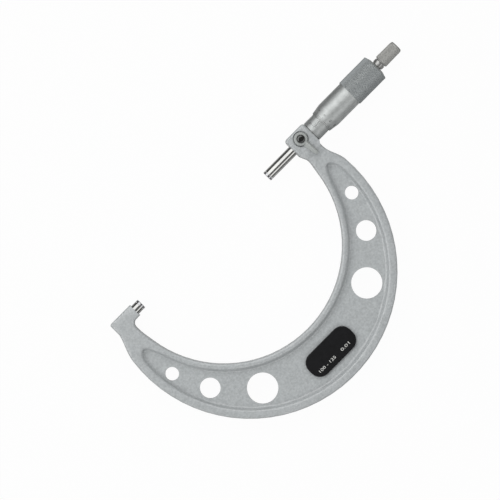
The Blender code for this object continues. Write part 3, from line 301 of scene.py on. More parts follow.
# A tree that repeats the piece's own mesh round the X axis and along it
def buildRepeatTree():
    tree = bpy.data.node_groups.new("repeatRoundAndAlong", "GeometryNodeTree")
    sockets = tree.interface
    sockets.new_socket("Geometry", in_out="INPUT", socket_type="NodeSocketGeometry")
    for name, kind in (
        ("Count Round", "NodeSocketInt"),
        ("Count Along", "NodeSocketInt"),
        ("Turn Step", "NodeSocketFloat"),
        ("Row Turn", "NodeSocketFloat"),
        ("Along Step", "NodeSocketFloat"),
        ("Taper", "NodeSocketFloat"),
        ("Finish", "NodeSocketMaterial"),
    ):
        sockets.new_socket(name, in_out="INPUT", socket_type=kind)
    sockets.new_socket("Geometry", in_out="OUTPUT", socket_type="NodeSocketGeometry")
    given = addNode(tree, "NodeGroupInput").outputs
    index = addNode(tree, "GeometryNodeInputIndex").outputs["Index"]
    perRow = given["Count Round"]
    total = addNode(tree, "ShaderNodeMath", {"operation": "MULTIPLY"}, {0: perRow, 1: given["Count Along"]})
    inRow = addNode(tree, "ShaderNodeMath", {"operation": "MODULO"}, {0: index, 1: perRow})
    share = addNode(tree, "ShaderNodeMath", {"operation": "DIVIDE"}, {0: index, 1: perRow})
    row = addNode(tree, "ShaderNodeMath", {"operation": "FLOOR"}, {0: share.outputs[0]})
    oddRow = addNode(tree, "ShaderNodeMath", {"operation": "MODULO", 1: 2.0}, {0: row.outputs[0]})
    rowTurn = addNode(
        tree,
        "ShaderNodeMath",
        {"operation": "MULTIPLY"},
        {0: oddRow.outputs[0], 1: given["Row Turn"]},
    )
    turn = addNode(
        tree,
        "ShaderNodeMath",
        {"operation": "MULTIPLY_ADD"},
        {0: inRow.outputs[0], 1: given["Turn Step"], 2: rowTurn.outputs[0]},
    )
    along = addNode(
        tree,
        "ShaderNodeMath",
        {"operation": "MULTIPLY"},
        {0: row.outputs[0], 1: given["Along Step"]},
    )
    narrowing = addNode(
        tree,
        "ShaderNodeMath",
        {"operation": "MULTIPLY"},
        {0: row.outputs[0], 1: given["Taper"]},
    )
    width = addNode(tree, "ShaderNodeMath", {"operation": "SUBTRACT", 0: 1.0}, {1: narrowing.outputs[0]})
    place = addNode(tree, "ShaderNodeCombineXYZ", links={"X": along.outputs[0]})
    facing = addNode(tree, "ShaderNodeCombineXYZ", links={"X": turn.outputs[0]})
    size = addNode(tree, "ShaderNodeCombineXYZ", {"X": 1.0}, {"Y": width.outputs[0], "Z": width.outputs[0]})
    points = addNode(
        tree,
        "GeometryNodePoints",
        links={"Count": total.outputs[0], "Position": place.outputs[0]},
    )
    copies = addNode(
        tree,
        "GeometryNodeInstanceOnPoints",
        links={
            "Points": points.outputs[0],
            "Instance": given["Geometry"],
            "Rotation": facing.outputs[0],
            "Scale": size.outputs[0],
        },
    )
    real = addNode(tree, "GeometryNodeRealizeInstances", links={"Geometry": copies.outputs[0]})
    painted = addNode(
        tree,
        "GeometryNodeSetMaterial",
        links={"Geometry": real.outputs[0], "Material": given["Finish"]},
    )
    addNode(tree, "NodeGroupOutput", links={"Geometry": painted.outputs[0]})
    return tree


repeatTree = buildRepeatTree()


def repeated(name, mesh, inputs):
    # runs the tree on one mark, ridge or point, modelled at its first place, and keeps the result
    obj = bpy.data.objects.new(name, mesh)
    bpy.context.scene.collection.objects.link(obj)
    modifier = obj.modifiers.new("repeat", "NODES")
    modifier.node_group = repeatTree
    values = {"Count Round": 1, "Count Along": 1}
    values.update({"Turn Step": 0.0, "Row Turn": 0.0, "Along Step": 0.0, "Taper": 0.0})
    values.update(inputs)
    for socket in repeatTree.interface.items_tree:
        if socket.in_out == "INPUT" and socket.name in values:
            modifier[socket.identifier] = values[socket.name]
    bpy.context.view_layer.update()
    made = bpy.data.meshes.new_from_object(obj.evaluated_get(bpy.context.evaluated_depsgraph_get()))
    made.name = name
    bpy.data.objects.remove(obj, do_unlink=True)
    return made


def wrapped(point, radius, start):
    # a flat drawing (along X, round towards +Y, height) laid on a cylinder or cone about X
    around = start + point[1] / radius
    reach = radius + point[2]
    return Vector((point[0], reach * math.sin(around), reach * math.cos(around)))


def slabMesh(name, corners, depth, steps=1):
    # a thin slab over a rectangle of the drawing, cut across its round direction
    (x0, y0), (x1, y1) = corners
    shape = bmesh.new()
    levels = []
    for z in (-depth, depth / 2):
        rows = []
        for i in range(steps + 1):
            y = y0 + (y1 - y0) * i / steps
            rows.append([shape.verts.new((x0, y, z)), shape.verts.new((x1, y, z))])
        levels.append(rows)
    low, high = levels
    for i in range(steps):
        shape.faces.new((high[i][0], high[i][1], high[i + 1][1], high[i + 1][0]))
        shape.faces.new((low[i][0], low[i + 1][0], low[i + 1][1], low[i][1]))
        for side in (0, 1):
            shape.faces.new((low[i][side], low[i + 1][side], high[i + 1][side], high[i][side]))
    for i in (0, steps):
        shape.faces.new((low[i][0], low[i][1], high[i][1], high[i][0]))
    bmesh.ops.recalc_face_normals(shape, faces=shape.faces)
    mesh = bpy.data.meshes.new(name)
    shape.to_mesh(mesh)
    shape.free()
    return mesh


def bendMesh(mesh, radiusAt, start):
    # lays a drawing on the turned surface whose radius at x is radiusAt(x)
    for vertex in mesh.vertices:
        vertex.co = wrapped(vertex.co, radiusAt(vertex.co.x), start)
    return mesh


def digitMesh(text, height, at, depth, longest=0.25 * mm):
    # plain digits as a thin solid, centred on at, with long edges cut so that they can be bent
    digitShare = 0.7  # a digit's height in the font's size
    curve = bpy.data.curves.new("digits", "FONT")
    curve.body = text
    curve.size = height / digitShare
    curve.align_x = "CENTER"
    curve.align_y = "CENTER"
    curve.extrude = depth
    curve.resolution_u = 3
    holder = bpy.data.objects.new("digits", curve)
    bpy.context.scene.collection.objects.link(holder)
    bpy.context.view_layer.update()
    mesh = bpy.data.meshes.new_from_object(holder.evaluated_get(bpy.context.evaluated_depsgraph_get()))
    bpy.data.objects.remove(holder, do_unlink=True)
    shape = bmesh.new()
    shape.from_mesh(mesh)
    bmesh.ops.remove_doubles(shape, verts=shape.verts, dist=weldGap / 2)
    for _ in range(2):
        long = [e for e in shape.edges if e.calc_length() > longest]
        bmesh.ops.subdivide_edges(shape, edges=long, cuts=1)
        bmesh.ops.triangulate(shape, faces=[f for f in shape.faces if len(f.verts) > 4])
    bmesh.ops.transform(shape, matrix=Matrix.Translation((at[0], at[1], 0)), verts=shape.verts)
    shape.to_mesh(mesh)
    shape.free()
    return mesh


def joined(name, meshes):
    # several meshes as one
    shape = bmesh.new()
    for mesh in meshes:
        shape.from_mesh(mesh)
    made = bpy.data.meshes.new(name)
    shape.to_mesh(made)
    shape.free()
    return made


# The cast bow and the fixed pieces that keep their shape
smoothCopy("castBow", "frame", hammerEnamel, "frame", sharp=50)
smoothCopy("rangePlateBody", "range_plate", plateLacquer, "frame", sharp=30)
for node, material in (
    ("inner_sleeve", turnedSteel),
    ("adjusting_nut", turnedSteel),
    ("ratchet_wheel", turnedSteel),
    ("ratchet_spring", polishedSteel),
    ("retaining_ring", polishedSteel),
    ("clamp_screw", turnedSteel),
    ("clamp_shoe", turnedBrass),
):
    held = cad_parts[node].data
    held.materials.clear()
    held.materials.append(material)
print("castings and small pieces dressed")


# Lock lever: a hub with a sloped rim, and a tail with a ridge that leans to its +X side
low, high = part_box("lock_lever")
hubReach = 4.4 * mm  # from the lever's +Y end to the middle of its hub
leverValues = {
    "centre": ((low.x + high.x) / 2, high.y - hubReach),
    "foot": low.z,
    "hub": ((0.0, 1.8), (0.0, 4.15), (0.6, 4.15), (1.8, 3.9), (2.1, 3.6), (2.1, 1.8)),
    "hubSoftness": 0.12 * mm,
    "washer": ((-0.7, 1.8), (-0.7, 4.1), (-0.3, 4.1), (-0.3, 1.8)),
    "washerSoftness": 0.05 * mm,
    "steps": 96,
    "tailFoot": low.z + 0.5 * mm,
    "shoulder": 0.05 * mm,
    "tilt": 5.3,  # degrees that the tail swings out from straight down
    "crest": 0.3 * mm,  # half the width of the ridge's rounded top
    "crestShare": 0.4,  # and at most this share of the tail's half width
    "crestDrop": 0.1 * mm,
    "lean": 0.3,  # how far the ridge stands off the middle, as a share of the half width
    "sections": (
        (2.2, 2.05, 1.5),
        (4.4, 1.9, 1.7),
        (12.0, 1.25, 1.4),
        (12.7, 1.05, 1.2),
        (13.05, 0.6, 0.8),
    ),
}


def leverTailMesh():
    # sections across the tail: (distance from the hub's centre, half width, height), all in mm
    v = leverValues
    shape = bmesh.new()
    rings = []
    for far, half, height in v["sections"]:
        top = v["tailFoot"] + height * mm
        side = v["tailFoot"] + v["shoulder"]
        half *= mm
        crest = min(v["crest"], half * v["crestShare"])
        ridge = half * v["lean"]
        brow = top - v["crestDrop"]
        foot = [(-half, v["tailFoot"]), (half, v["tailFoot"]), (half, side)]
        points = foot + [(ridge + crest, brow), (ridge, top), (ridge - crest, brow), (-half, side)]
        rings.append([shape.verts.new((x, -far * mm, z)) for x, z in points])
    for near, far in zip(rings, rings[1:]):
        for i in range(len(near)):
            j = (i + 1) % len(near)
            shape.faces.new((near[i], near[j], far[j], far[i]))
    shape.faces.new(rings[0])
    shape.faces.new(rings[-1])
    bmesh.ops.recalc_face_normals(shape, faces=shape.faces)
    mesh = bpy.data.meshes.new("leverTail")
    shape.to_mesh(mesh)
    shape.free()
    swing = Matrix.Rotation(math.radians(v["tilt"]), 4, "Z")
    mesh.transform(Matrix.Translation((*v["centre"], 0)) @ swing)
    return mesh


def standingRing(name, profile, softness):
    # turned about X, then stood up on the lock's axis so that X becomes Z
    v = leverValues
    points = [(v["foot"] + x * mm, r * mm) for x, r in profile]
    mesh = latheMesh(name, roundedProfile(points, softness), v["steps"])
    x, y = v["centre"]
    mesh.transform(Matrix(((0, 0, -1, x), (0, 1, 0, y), (1, 0, 0, 0), (0, 0, 0, 1))))
    return mesh


washerMesh = standingRing("leverWasher", leverValues["washer"], leverValues["washerSoftness"])
addPiece("leverWasher", washerMesh, turnedSteel, "frame", ["lever_washer"])
hubMesh = standingRing("leverHub", leverValues["hub"], leverValues["hubSoftness"])
leverMesh = joined("lockLever", [hubMesh, leverTailMesh()])
addPiece("lockLever", leverMesh, satinLacquer, "lock_lever", ["lock_lever"], sharp=35)
print("lock lever ridged")


# Black domed screw on the lever, with its hexagon socket
low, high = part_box("lock_screw")
screwValues = {
    "centre": (low + high) / 2,
    "foot": high.z - 1.5 * mm,
    "top": high.z,
    "radius": 2.5 * mm,
    "shoulder": 0.45 * mm,
    "crownRadius": 1.05 * mm,
    "domeSteps": 8,
    "socket": 0.9 * mm,  # half across the flats
    "socketDepth": 0.9 * mm,
    "shank": 0.8 * mm,
    "end": low.z,
    "steps": 72,
}


def hexagonReach(angle, halfAcross):
    # from the middle of a hexagon to its side
    return halfAcross / math.cos((angle % (math.pi / 3)) - math.pi / 6)


def screwMesh():
    # rings from the shank's end up to the socket's floor: (height, radius, hexagon or round)
    v = screwValues
    rings = [(v["end"], v["shank"], False), (v["foot"], v["shank"], False), (v["foot"], v["radius"], False)]
    rings.append((v["foot"] + v["shoulder"], v["radius"], False))
    rise = v["top"] - v["foot"] - v["shoulder"]
    for i in range(1, v["domeSteps"] + 1):
        turn = math.pi / 2 * i / v["domeSteps"]
        radius = v["crownRadius"] + (v["radius"] - v["crownRadius"]) * math.cos(turn)
        rings.append((v["foot"] + v["shoulder"] + rise * math.sin(turn), radius, False))
    rings += [(v["top"], v["socket"], True), (v["top"] - v["socketDepth"], v["socket"], True)]
    shape = bmesh.new()
    made = []
    for z, radius, hexagon in rings:
        turns = [math.tau * i / v["steps"] for i in range(v["steps"])]
        reaches = [hexagonReach(a, radius) if hexagon else radius for a in turns]
        spots = [(r * math.cos(a), r * math.sin(a)) for a, r in zip(turns, reaches)]
        made.append([shape.verts.new((v["centre"].x + x, v["centre"].y + y, z)) for x, y in spots])
    for lower, upper in zip(made, made[1:]):
        for i in range(v["steps"]):
            j = (i + 1) % v["steps"]
            shape.faces.new((lower[i], lower[j], upper[j], upper[i]))
    shape.faces.new(made[0])
    shape.faces.new(made[-1])
    bmesh.ops.recalc_face_normals(shape, faces=shape.faces)
    mesh = bpy.data.meshes.new("lockScrew")
    shape.to_mesh(mesh)
    shape.free()
    return mesh


addPiece("lockScrew", screwMesh(), blackOxide, "lock_lever", ["lock_screw"], sharp=50)
print("lock screw crowned")


# Anvil and spindle, ground round, each with its carbide tip
faceValues = {"chamfer": 0.2 * mm, "edge": 0.05 * mm}


def tipProfile(box, facing):
    # a disc whose open face looks along facing and is chamfered
    near, far = (box[0].x, box[1].x) if facing < 0 else (box[1].x, box[0].x)
    radius = box[1].z
    cut = faceValues["chamfer"] * (1 if facing < 0 else -1)
    return [(near, 0), (near, radius - abs(cut)), (near + cut, radius), (far, radius), (far, 0)]


for name, node, body, facing in (
    ("anvilTip", "anvil_tip", "frame", 1),
    ("spindleTip", "spindle_tip", "spindle", -1),
):
    mesh = latheMesh(name, roundedProfile(tipProfile(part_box(node), facing), faceValues["edge"], 2))
    addPiece(name, mesh, lappedCarbide, body, [node])

low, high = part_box("anvil")
pin = [(low.x, 0), (low.x, high.z), (high.x, high.z), (high.x, 0)]
pinMesh = latheMesh("anvilPin", roundedProfile(pin, faceValues["edge"], 2))
addPiece("anvilPin", pinMesh, polishedSteel, "frame", ["anvil"])

low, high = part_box("spindle")
spindleValues = {
    "radius": 3.175 * mm,
    "threadRadius": 3.6 * mm,
    "threadStart": 156.9 * mm,
    "taperStart": 187.9 * mm,
    "taperRadius": 3.4 * mm,
    "taperEnd": 2.416 * mm,
    "holeRadius": 2.0 * mm,
    "holeStart": 189.1 * mm,
}
rod = [
    (low.x, 0),
    (low.x, spindleValues["radius"]),
    (spindleValues["threadStart"], spindleValues["radius"]),
    (spindleValues["threadStart"], spindleValues["threadRadius"]),
    (spindleValues["taperStart"], spindleValues["threadRadius"]),
    (spindleValues["taperStart"], spindleValues["taperRadius"]),
    (high.x, spindleValues["taperEnd"]),
    (high.x, spindleValues["holeRadius"]),
    (spindleValues["holeStart"], spindleValues["holeRadius"]),
    (spindleValues["holeStart"], 0),
]
rodMesh = latheMesh("spindleRod", roundedProfile(rod, faceValues["edge"], 2))
addPiece("spindleRod", rodMesh, polishedSteel, "spindle", ["spindle"])
print("anvil and spindle turned")


# Graduated sleeve: a datum line, 25 mm of marks and a number every 5 mm
sleeveValues = {
    "radius": 6.5 * mm,
    "zero": 145.1 * mm,
    "datumAngle": math.radians(9.0),
    "markWidth": 0.16 * mm,
    "markLong": 2.1 * mm,
    "markShort": 1.35 * mm,
    "halfMark": 1.35 * mm,
    "markDepth": 0.02 * mm,
    "digitHeight": 1.5 * mm,
    "digitRise": 3.1 * mm,
    "division": 1.0 * mm,
    "span": 25,
    "numbered": 5,
    "datumEnds": (1.2 * mm, 0.4 * mm),
}
smoothCopy("scaleSleeve", "graduated_sleeve", satinChrome, "frame")


def onSleeve(mesh):
    return bendMesh(mesh, lambda x: sleeveValues["radius"], sleeveValues["datumAngle"])


def sleeveMarks():
    v = sleeveValues
    half = v["markWidth"] / 2
    kinds = (
        (v["zero"], v["division"], v["span"] + 1, (0.0, v["markShort"])),
        (v["zero"], v["division"] * v["numbered"], v["span"] // v["numbered"] + 1, (0.0, v["markLong"])),
        (v["zero"] + v["division"] / 2, v["division"], v["span"], (-v["halfMark"], 0.0)),
    )
    meshes = []
    for start, step, count, (foot, top) in kinds:
        one = slabMesh("sleeveMark", ((start - half, foot), (start + half, top)), v["markDepth"], 4)
        along = {"Count Along": count, "Along Step": step, "Finish": markInk}
        meshes.append(repeated("sleeveMark", onSleeve(one), along))
    begin = v["zero"] - v["datumEnds"][0]
    end = v["zero"] + v["span"] * v["division"] + v["datumEnds"][1]
    meshes.append(onSleeve(slabMesh("datumLine", ((begin, -half), (end, half)), v["markDepth"])))
    for number in range(0, v["span"] + 1, v["numbered"]):
        at = (v["zero"] + number * v["division"], v["digitRise"])
        meshes.append(onSleeve(digitMesh(str(number), v["digitHeight"], at, v["markDepth"])))
    return joined("sleeveMarks", meshes)


addPiece("sleeveMarks", sleeveMarks(), markInk, "frame")
print("sleeve graduated")


# Thimble: bevelled reading edge, plain barrel, knurled grip and end wall
low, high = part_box("thimble")
thimbleValues = {
    "edge": low.x,
    "lip": 7.1 * mm,
    "bore": 6.8 * mm,
    "bevelLength": 6.4 * mm,
    "radius": 8.1 * mm,
    "gripStart": low.x + 23.8 * mm,
    "gripEnd": low.x + 45.3 * mm,
    "gripRadius": 8.65 * mm,
    "gripStep": 0.05 * mm,
    "gripChamfer": 0.3 * mm,
    "end": high.x,
    "coneRadius": 5.2 * mm,
    "floor": 187.9 * mm,
    "seatNear": 3.7 * mm,
    "seatFar": 2.68 * mm,
    "softness": 0.08 * mm,
    "steps": 192,
    "ridges": 210,  # so fine that the eye takes the grip for one grey; its darker tone is painted shade in the grip's colour
    "ridgeDepth": 0.085 * mm,
    "ridgeSink": 0.02 * mm,
    "ridgeGaps": (0.06 * mm, 0.1 * mm),
}


def thimbleProfile():
    v = thimbleValues
    core = v["gripRadius"] - v["ridgeDepth"]
    return [
        (v["edge"], v["bore"]),
        (v["edge"], v["lip"]),
        (v["edge"] + v["bevelLength"], v["radius"]),
        (v["gripStart"], v["radius"]),
        (v["gripStart"] + v["gripStep"], core),
        (v["gripEnd"] - v["gripChamfer"], core),
        (v["gripEnd"], core - v["gripChamfer"]),
        (v["end"], v["coneRadius"]),
        (v["end"], v["seatFar"]),
        (v["floor"], v["seatNear"]),
        (v["floor"], v["bore"]),
    ]


v = thimbleValues
bodyMesh = latheMesh("thimbleBody", roundedProfile(thimbleProfile(), v["softness"], 2), v["steps"])
addPiece("thimbleBody", bodyMesh, satinChrome, "thimble", ["thimble"])


def ridgeMesh(name, near, far, radius, depth, count, chamfer):
    # one straight ridge, wide at its foot and sharp at its crest, with sloped ends
    half = math.pi * radius / count
    shape = bmesh.new()
    corners = [(x, side * half, -depth) for x in (near, far) for side in (-1, 1)]
    feet = [shape.verts.new(wrapped(corner, radius, 0.0)) for corner in corners]
    crest = [shape.verts.new(wrapped((x, 0, 0), radius, 0.0)) for x in (near + chamfer, far - chamfer)]
    shape.faces.new((feet[0], feet[2], crest[1], crest[0]))
    shape.faces.new((feet[3], feet[1], crest[0], crest[1]))
    shape.faces.new((feet[1], feet[0], crest[0]))
    shape.faces.new((feet[2], feet[3], crest[1]))
    shape.faces.new((feet[0], feet[1], feet[3], feet[2]))
    bmesh.ops.recalc_face_normals(shape, faces=shape.faces)
    mesh = bpy.data.meshes.new(name)
    shape.to_mesh(mesh)
    shape.free()
    return mesh


oneRidge = ridgeMesh(
    "gripRidge",
    v["gripStart"] + v["ridgeGaps"][0],
    v["gripEnd"] - v["ridgeGaps"][1],
    v["gripRadius"],
    v["ridgeDepth"] + v["ridgeSink"],
    v["ridges"],
    v["gripChamfer"],
)
# the grip's finish carries painted shade: its colour is darkened for the ridges shading one another
gripMesh = repeated("gripKnurl", oneRidge, {
    "Count Round": v["ridges"], "Turn Step": math.tau / v["ridges"], "Finish": knurledChromePaintedShade,
})
addPiece("gripKnurl", gripMesh, knurledChromePaintedShade, "thimble", sharp=20)

# The reading edge: 50 divisions, the fives longer and numbered
bevelValues = {
    "divisions": 50,
    "numbered": 5,
    "markWidth": 0.15 * mm,
    "markShort": 1.6 * mm,
    "markLong": 2.4 * mm,
    "markStart": 0.05 * mm,
    "markDepth": 0.02 * mm,
    "digitHeight": 1.35 * mm,
    "digitPlace": 4.1 * mm,
}


def bevelRadius(x):
    v = thimbleValues
    share = min(1.0, (x - v["edge"]) / v["bevelLength"])
    return v["lip"] + (v["radius"] - v["lip"]) * share


def onBevel(mesh, turn=0.0):
    return bendMesh(mesh, bevelRadius, sleeveValues["datumAngle"] + turn)


def bevelMarks():
    v = bevelValues
    near = thimbleValues["edge"] + v["markStart"]
    half = v["markWidth"] / 2
    meshes = []
    for length, count in (
        (v["markShort"], v["divisions"]),
        (v["markLong"], v["divisions"] // v["numbered"]),
    ):
        one = onBevel(slabMesh("bevelMark", ((near, -half), (near + length, half)), v["markDepth"]))
        around = {"Count Round": count, "Turn Step": math.tau / count, "Finish": markInk}
        meshes.append(repeated("bevelMark", one, around))
    at = (thimbleValues["edge"] + v["digitPlace"], 0.0)
    for number in range(0, v["divisions"], v["numbered"]):
        digits = digitMesh(str(number), v["digitHeight"], at, v["markDepth"])
        meshes.append(onBevel(digits, math.tau * number / v["divisions"]))
    return joined("thimbleMarks", meshes)


addPiece("thimbleMarks", bevelMarks(), markInk, "thimble")
print("thimble knurled and graduated")


# Ratchet stop: neck and shiny collar, then the diamond-knurled knob
smoothCopy("ratchetStem", "ratchet_screw", turnedSteel, "thimble")
low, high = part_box("ratchet_knob")
knobValues = {
    "near": low.x,
    "far": high.x,
    "radius": 4.15 * mm,
    "farRadius": 3.95 * mm,
    "bore": 3.0 * mm,
    "floor": 209.1 * mm,
    "shoulder": 3.3 * mm,
    "shoulderLength": 0.5 * mm,
    "chamfer": 0.7 * mm,
    "nearBevel": (0.2 * mm, 0.15 * mm),
    "softness": 0.06 * mm,
    "steps": 96,
    "knurlDepth": 0.11 * mm,
    "knurlSink": 0.02 * mm,
    "knurlRound": 52,
    "knurlPitch": 0.5 * mm,
    "knurlStart": 0.45 * mm,
    "knurlMargin": 0.6 * mm,
}


def knobProfile():
    v = knobValues
    near = v["radius"] - v["knurlDepth"]
    far = v["farRadius"] - v["knurlDepth"]
    return [
        (v["far"], 0),
        (v["far"], far + v["knurlDepth"] - v["chamfer"]),
        (v["far"] - v["chamfer"], far),
        (v["near"] + v["nearBevel"][0], near),
        (v["near"], near - v["nearBevel"][1]),
        (v["near"], v["shoulder"]),
        (v["near"] - v["shoulderLength"], v["shoulder"]),
        (v["near"] - v["shoulderLength"], v["bore"]),
        (v["floor"], v["bore"]),
        (v["floor"], 0),
    ]


v = knobValues
knobMesh = latheMesh("knobBody", roundedProfile(knobProfile(), v["softness"], 2), v["steps"])
addPiece("knobBody", knobMesh, satinNickel, "ratchet_knob", ["ratchet_knob"])


def diamondMesh():
    # one point of the knurl: a low pyramid, longer along X than round
    v = knobValues
    x = v["near"] + v["knurlStart"]
    half = math.pi * v["radius"] / v["knurlRound"]
    foot = -v["knurlDepth"] - v["knurlSink"]
    shape = bmesh.new()
    corners = [(x - v["knurlPitch"], 0), (x, half), (x + v["knurlPitch"], 0), (x, -half)]
    feet = [shape.verts.new(wrapped((cx, cy, foot), v["radius"], 0.0)) for cx, cy in corners]
    tip = shape.verts.new(wrapped((x, 0, 0), v["radius"], 0.0))
    for i in range(4):
        shape.faces.new((feet[i], feet[(i + 1) % 4], tip))
    shape.faces.new(feet)
    bmesh.ops.recalc_face_normals(shape, faces=shape.faces)
    mesh = bpy.data.meshes.new("knurlPoint")
    shape.to_mesh(mesh)
    shape.free()
    return mesh


rows = int((v["far"] - v["near"] - v["chamfer"] - v["knurlMargin"]) / v["knurlPitch"])
turnStep = math.tau / v["knurlRound"]
taper = (1 - v["farRadius"] / v["radius"]) * v["knurlPitch"] / (v["far"] - v["near"])
knurlMesh = repeated("knobKnurl", diamondMesh(), {
    "Count Round": v["knurlRound"], "Count Along": rows, "Turn Step": turnStep,
    "Row Turn": turnStep / 2, "Along Step": v["knurlPitch"], "Taper": taper, "Finish": satinNickel,
})
addPiece("knobKnurl", knurlMesh, satinNickel, "ratchet_knob", sharp=20)
print("ratchet stop knurled")


# Range plate: plain numbers for the range and the division along its lower edge, nothing above
low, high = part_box("range_plate")
plateValues = {
    "centre": (low + high) / 2,
    "recess": 0.3 * mm,
    "inkDepth": 0.03 * mm,
    "height": 1.75 * mm,
    "drop": 3.9 * mm,
    "numbers": (("100 - 125", -6.9 * mm, 13.0 * mm), ("0.01", 8.4 * mm, 6.6 * mm)),
}


def plateNumbers():
    v = plateValues
    meshes = []
    for text, across, length in v["numbers"]:
        mesh = digitMesh(text, v["height"], (0, 0), v["inkDepth"], longest=1.0)
        width = max(p.co.x for p in mesh.vertices) - min(p.co.x for p in mesh.vertices)
        place = Vector((v["centre"].x + across, v["centre"].y - v["drop"], high.z - v["recess"]))
        mesh.transform(Matrix.Translation(place) @ Matrix.Diagonal((length / width, 1, 1, 1)))
        meshes.append(mesh)
    return joined("plateNumbers", meshes)


addPiece("plateNumbers", plateNumbers(), paleInk, "frame")
print("plate numbered")


# White paper, soft boxes on both sides, dark cards that draw the lines on the steel, and the camera
stageValues = {
    "floorSize": 3.0,
    "floorColour": "#C8C8C8",
    "whiteShare": 0.97,  # how much of the paper's white is seen straight, the rest takes the shadow
    "mirrorShare": 0.05,  # the same share for what the metal reflects
    "skyColour": "#FFFFFF",
    "skyFill": 0.2,
    "skyInMetal": 0.2,
    "keyBox": {"power": 11.2, "size": (2.4, 0.86), "tilt": 35.0, "turn": 10.0},
    "fillBox": {"power": 3.9, "size": (2.4, 0.38), "tilt": -49.0, "turn": -10.0},
    "boxDistance": 0.85,
    "floorGap": 0.05 * mm,  # the paper lies this far under the grip, the lowest point
    "cardColour": "#606060",
    "cardSpan": (-0.9, 1.05),
    "cardDistance": 0.8,
    "cardTop": 0.22,
    "floorCardSpan": (0.024, 0.7),
    "floorCardLift": 1.0 * mm,
}
cameraValues = {
    "centre": (67.3 * mm, -23.2 * mm),
    "field": 294.1 * mm,
    "distance": 2.4,
    "turn": -45.26,
    "sensor": 36.0,
    "farthest": 20.0,
}


def emptyMaterial(name):
    material = bpy.data.materials.new(name)
    material.use_nodes = True
    material.node_tree.nodes.clear()
    return material, material.node_tree


def seenDirectly(tree, straight, inMetal):
    # the share for camera and glass rays, a share for mirror rays, and 0 for the light on the object
    path = addNode(tree, "ShaderNodeLightPath").outputs
    rays = {0: path["Is Camera Ray"], 1: path["Is Transmission Ray"]}
    clear = addNode(tree, "ShaderNodeMath", {"operation": "MAXIMUM"}, rays).outputs[0]
    glossy = path["Is Glossy Ray"]
    clearShare = addNode(tree, "ShaderNodeMath", {"operation": "MULTIPLY", 1: straight}, {0: clear})
    mirrorShare = addNode(tree, "ShaderNodeMath", {"operation": "MULTIPLY", 1: inMetal}, {0: glossy})
    shares = {0: clearShare.outputs[0], 1: mirrorShare.outputs[0]}
    return addNode(tree, "ShaderNodeMath", {"operation": "MAXIMUM"}, shares).outputs[0]


def planeMesh(name, corners):
    mesh = bpy.data.meshes.new(name)
    mesh.from_pydata(corners, [], [tuple(range(len(corners)))])
    return mesh


def addStage(name, mesh, material):
    mesh.materials.append(material)
    obj = bpy.data.objects.new(name, mesh)
    bpy.context.scene.collection.objects.link(obj)
    return obj


paper, tree = emptyMaterial("whitePaper")
seen = seenDirectly(tree, stageValues["whiteShare"], stageValues["mirrorShare"])
matt = addNode(tree, "ShaderNodeBsdfDiffuse", {"Color": linearColour(stageValues["floorColour"])})
glow = addNode(tree, "ShaderNodeEmission", {"Strength": 1.0})
mixed = addNode(tree, "ShaderNodeMixShader", links={0: seen, 1: matt.outputs[0], 2: glow.outputs[0]})
addNode(tree, "ShaderNodeOutputMaterial", links={"Surface": mixed.outputs[0]})

middle = Vector((*cameraValues["centre"], 0))
floorZ = cadBox[0].z - stageValues["floorGap"]
half = stageValues["floorSize"] / 2
square = ((-1, -1), (1, -1), (1, 1), (-1, 1))
corners = [(middle.x + x * half, middle.y + y * half, floorZ) for x, y in square]
addStage("paperFloor", planeMesh("paperFloor", corners), paper)


def addCard(name, colour, corners):
    # a grey card that only the gloss on the object sees
    grey, tree = emptyMaterial(name)
    glow = addNode(tree, "ShaderNodeEmission", {"Color": linearColour(colour), "Strength": 1.0})
    addNode(tree, "ShaderNodeOutputMaterial", links={"Surface": glow.outputs[0]})
    card = addStage(name, planeMesh(name, corners), grey)
    card.visible_camera = False
    card.visible_diffuse = False
    card.visible_shadow = False
    card.visible_transmission = False


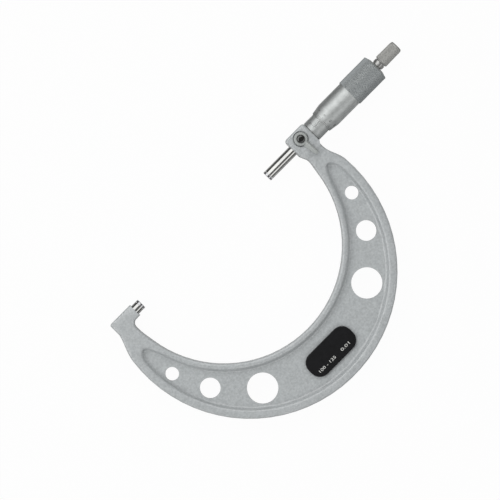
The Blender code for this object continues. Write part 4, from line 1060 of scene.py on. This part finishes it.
x0, x1 = stageValues["cardSpan"]
for side, label in ((1, "Back"), (-1, "Front")):
    y = middle.y + side * stageValues["cardDistance"]
    top = floorZ + stageValues["cardTop"]
    corners = [(x0, y, floorZ), (x1, y, floorZ), (x1, y, top), (x0, y, top)]
    addCard("horizonCard" + label, stageValues["cardColour"], corners)
y0, y1 = stageValues["floorCardSpan"]
z = floorZ + stageValues["floorCardLift"]
addCard("floorCard", stageValues["cardColour"], [(x0, y0, z), (x1, y0, z), (x1, y1, z), (x0, y1, z)])


def addSoftBox(name):
    # a wide soft lamp that looks at the middle of the picture, tilted from straight above
    values = stageValues[name]
    lamp = bpy.data.lights.new(name, "AREA")
    lamp.shape = "RECTANGLE"
    lamp.size, lamp.size_y = values["size"]
    lamp.energy = values["power"]
    obj = bpy.data.objects.new(name, lamp)
    bpy.context.scene.collection.objects.link(obj)
    tilt, turn = math.radians(values["tilt"]), math.radians(values["turn"])
    back = Matrix.Rotation(turn, 3, "Z") @ Vector((0, math.sin(tilt), math.cos(tilt)))
    obj.location = middle + back * stageValues["boxDistance"]
    obj.rotation_euler = (-tilt, 0, turn)
    obj.visible_camera = False


addSoftBox("keyBox")
addSoftBox("fillBox")

world = bpy.data.worlds.new("studioAir")
world.use_nodes = True
tree = world.node_tree
tree.nodes.clear()
seen = seenDirectly(tree, 1.0, 0.0)
mirror = addNode(tree, "ShaderNodeLightPath").outputs["Is Glossy Ray"]
backs = []
for strength in (stageValues["skyFill"], stageValues["skyInMetal"], 1.0):
    settings = {"Color": linearColour(stageValues["skyColour"]), "Strength": strength}
    backs.append(addNode(tree, "ShaderNodeBackground", settings).outputs[0])
mixed = addNode(tree, "ShaderNodeMixShader", links={0: mirror, 1: backs[0], 2: backs[1]})
mixed = addNode(tree, "ShaderNodeMixShader", links={0: seen, 1: mixed.outputs[0], 2: backs[2]})
addNode(tree, "ShaderNodeOutputWorld", links={"Surface": mixed.outputs[0]})
bpy.context.scene.world = world

lens = bpy.data.cameras.new("squareOnCamera")
lens.sensor_width = cameraValues["sensor"]
lens.lens = lens.sensor_width * cameraValues["distance"] / cameraValues["field"]
lens.clip_end = cameraValues["farthest"]
camera = bpy.data.objects.new("squareOnCamera", lens)
bpy.context.scene.collection.objects.link(camera)
camera.location = middle + Vector((0, 0, cameraValues["distance"]))
camera.rotation_euler = (0, 0, math.radians(cameraValues["turn"]))
bpy.context.scene.camera = camera
bpy.context.scene.view_settings.view_transform = "Standard"
print("stage lit, camera square on")
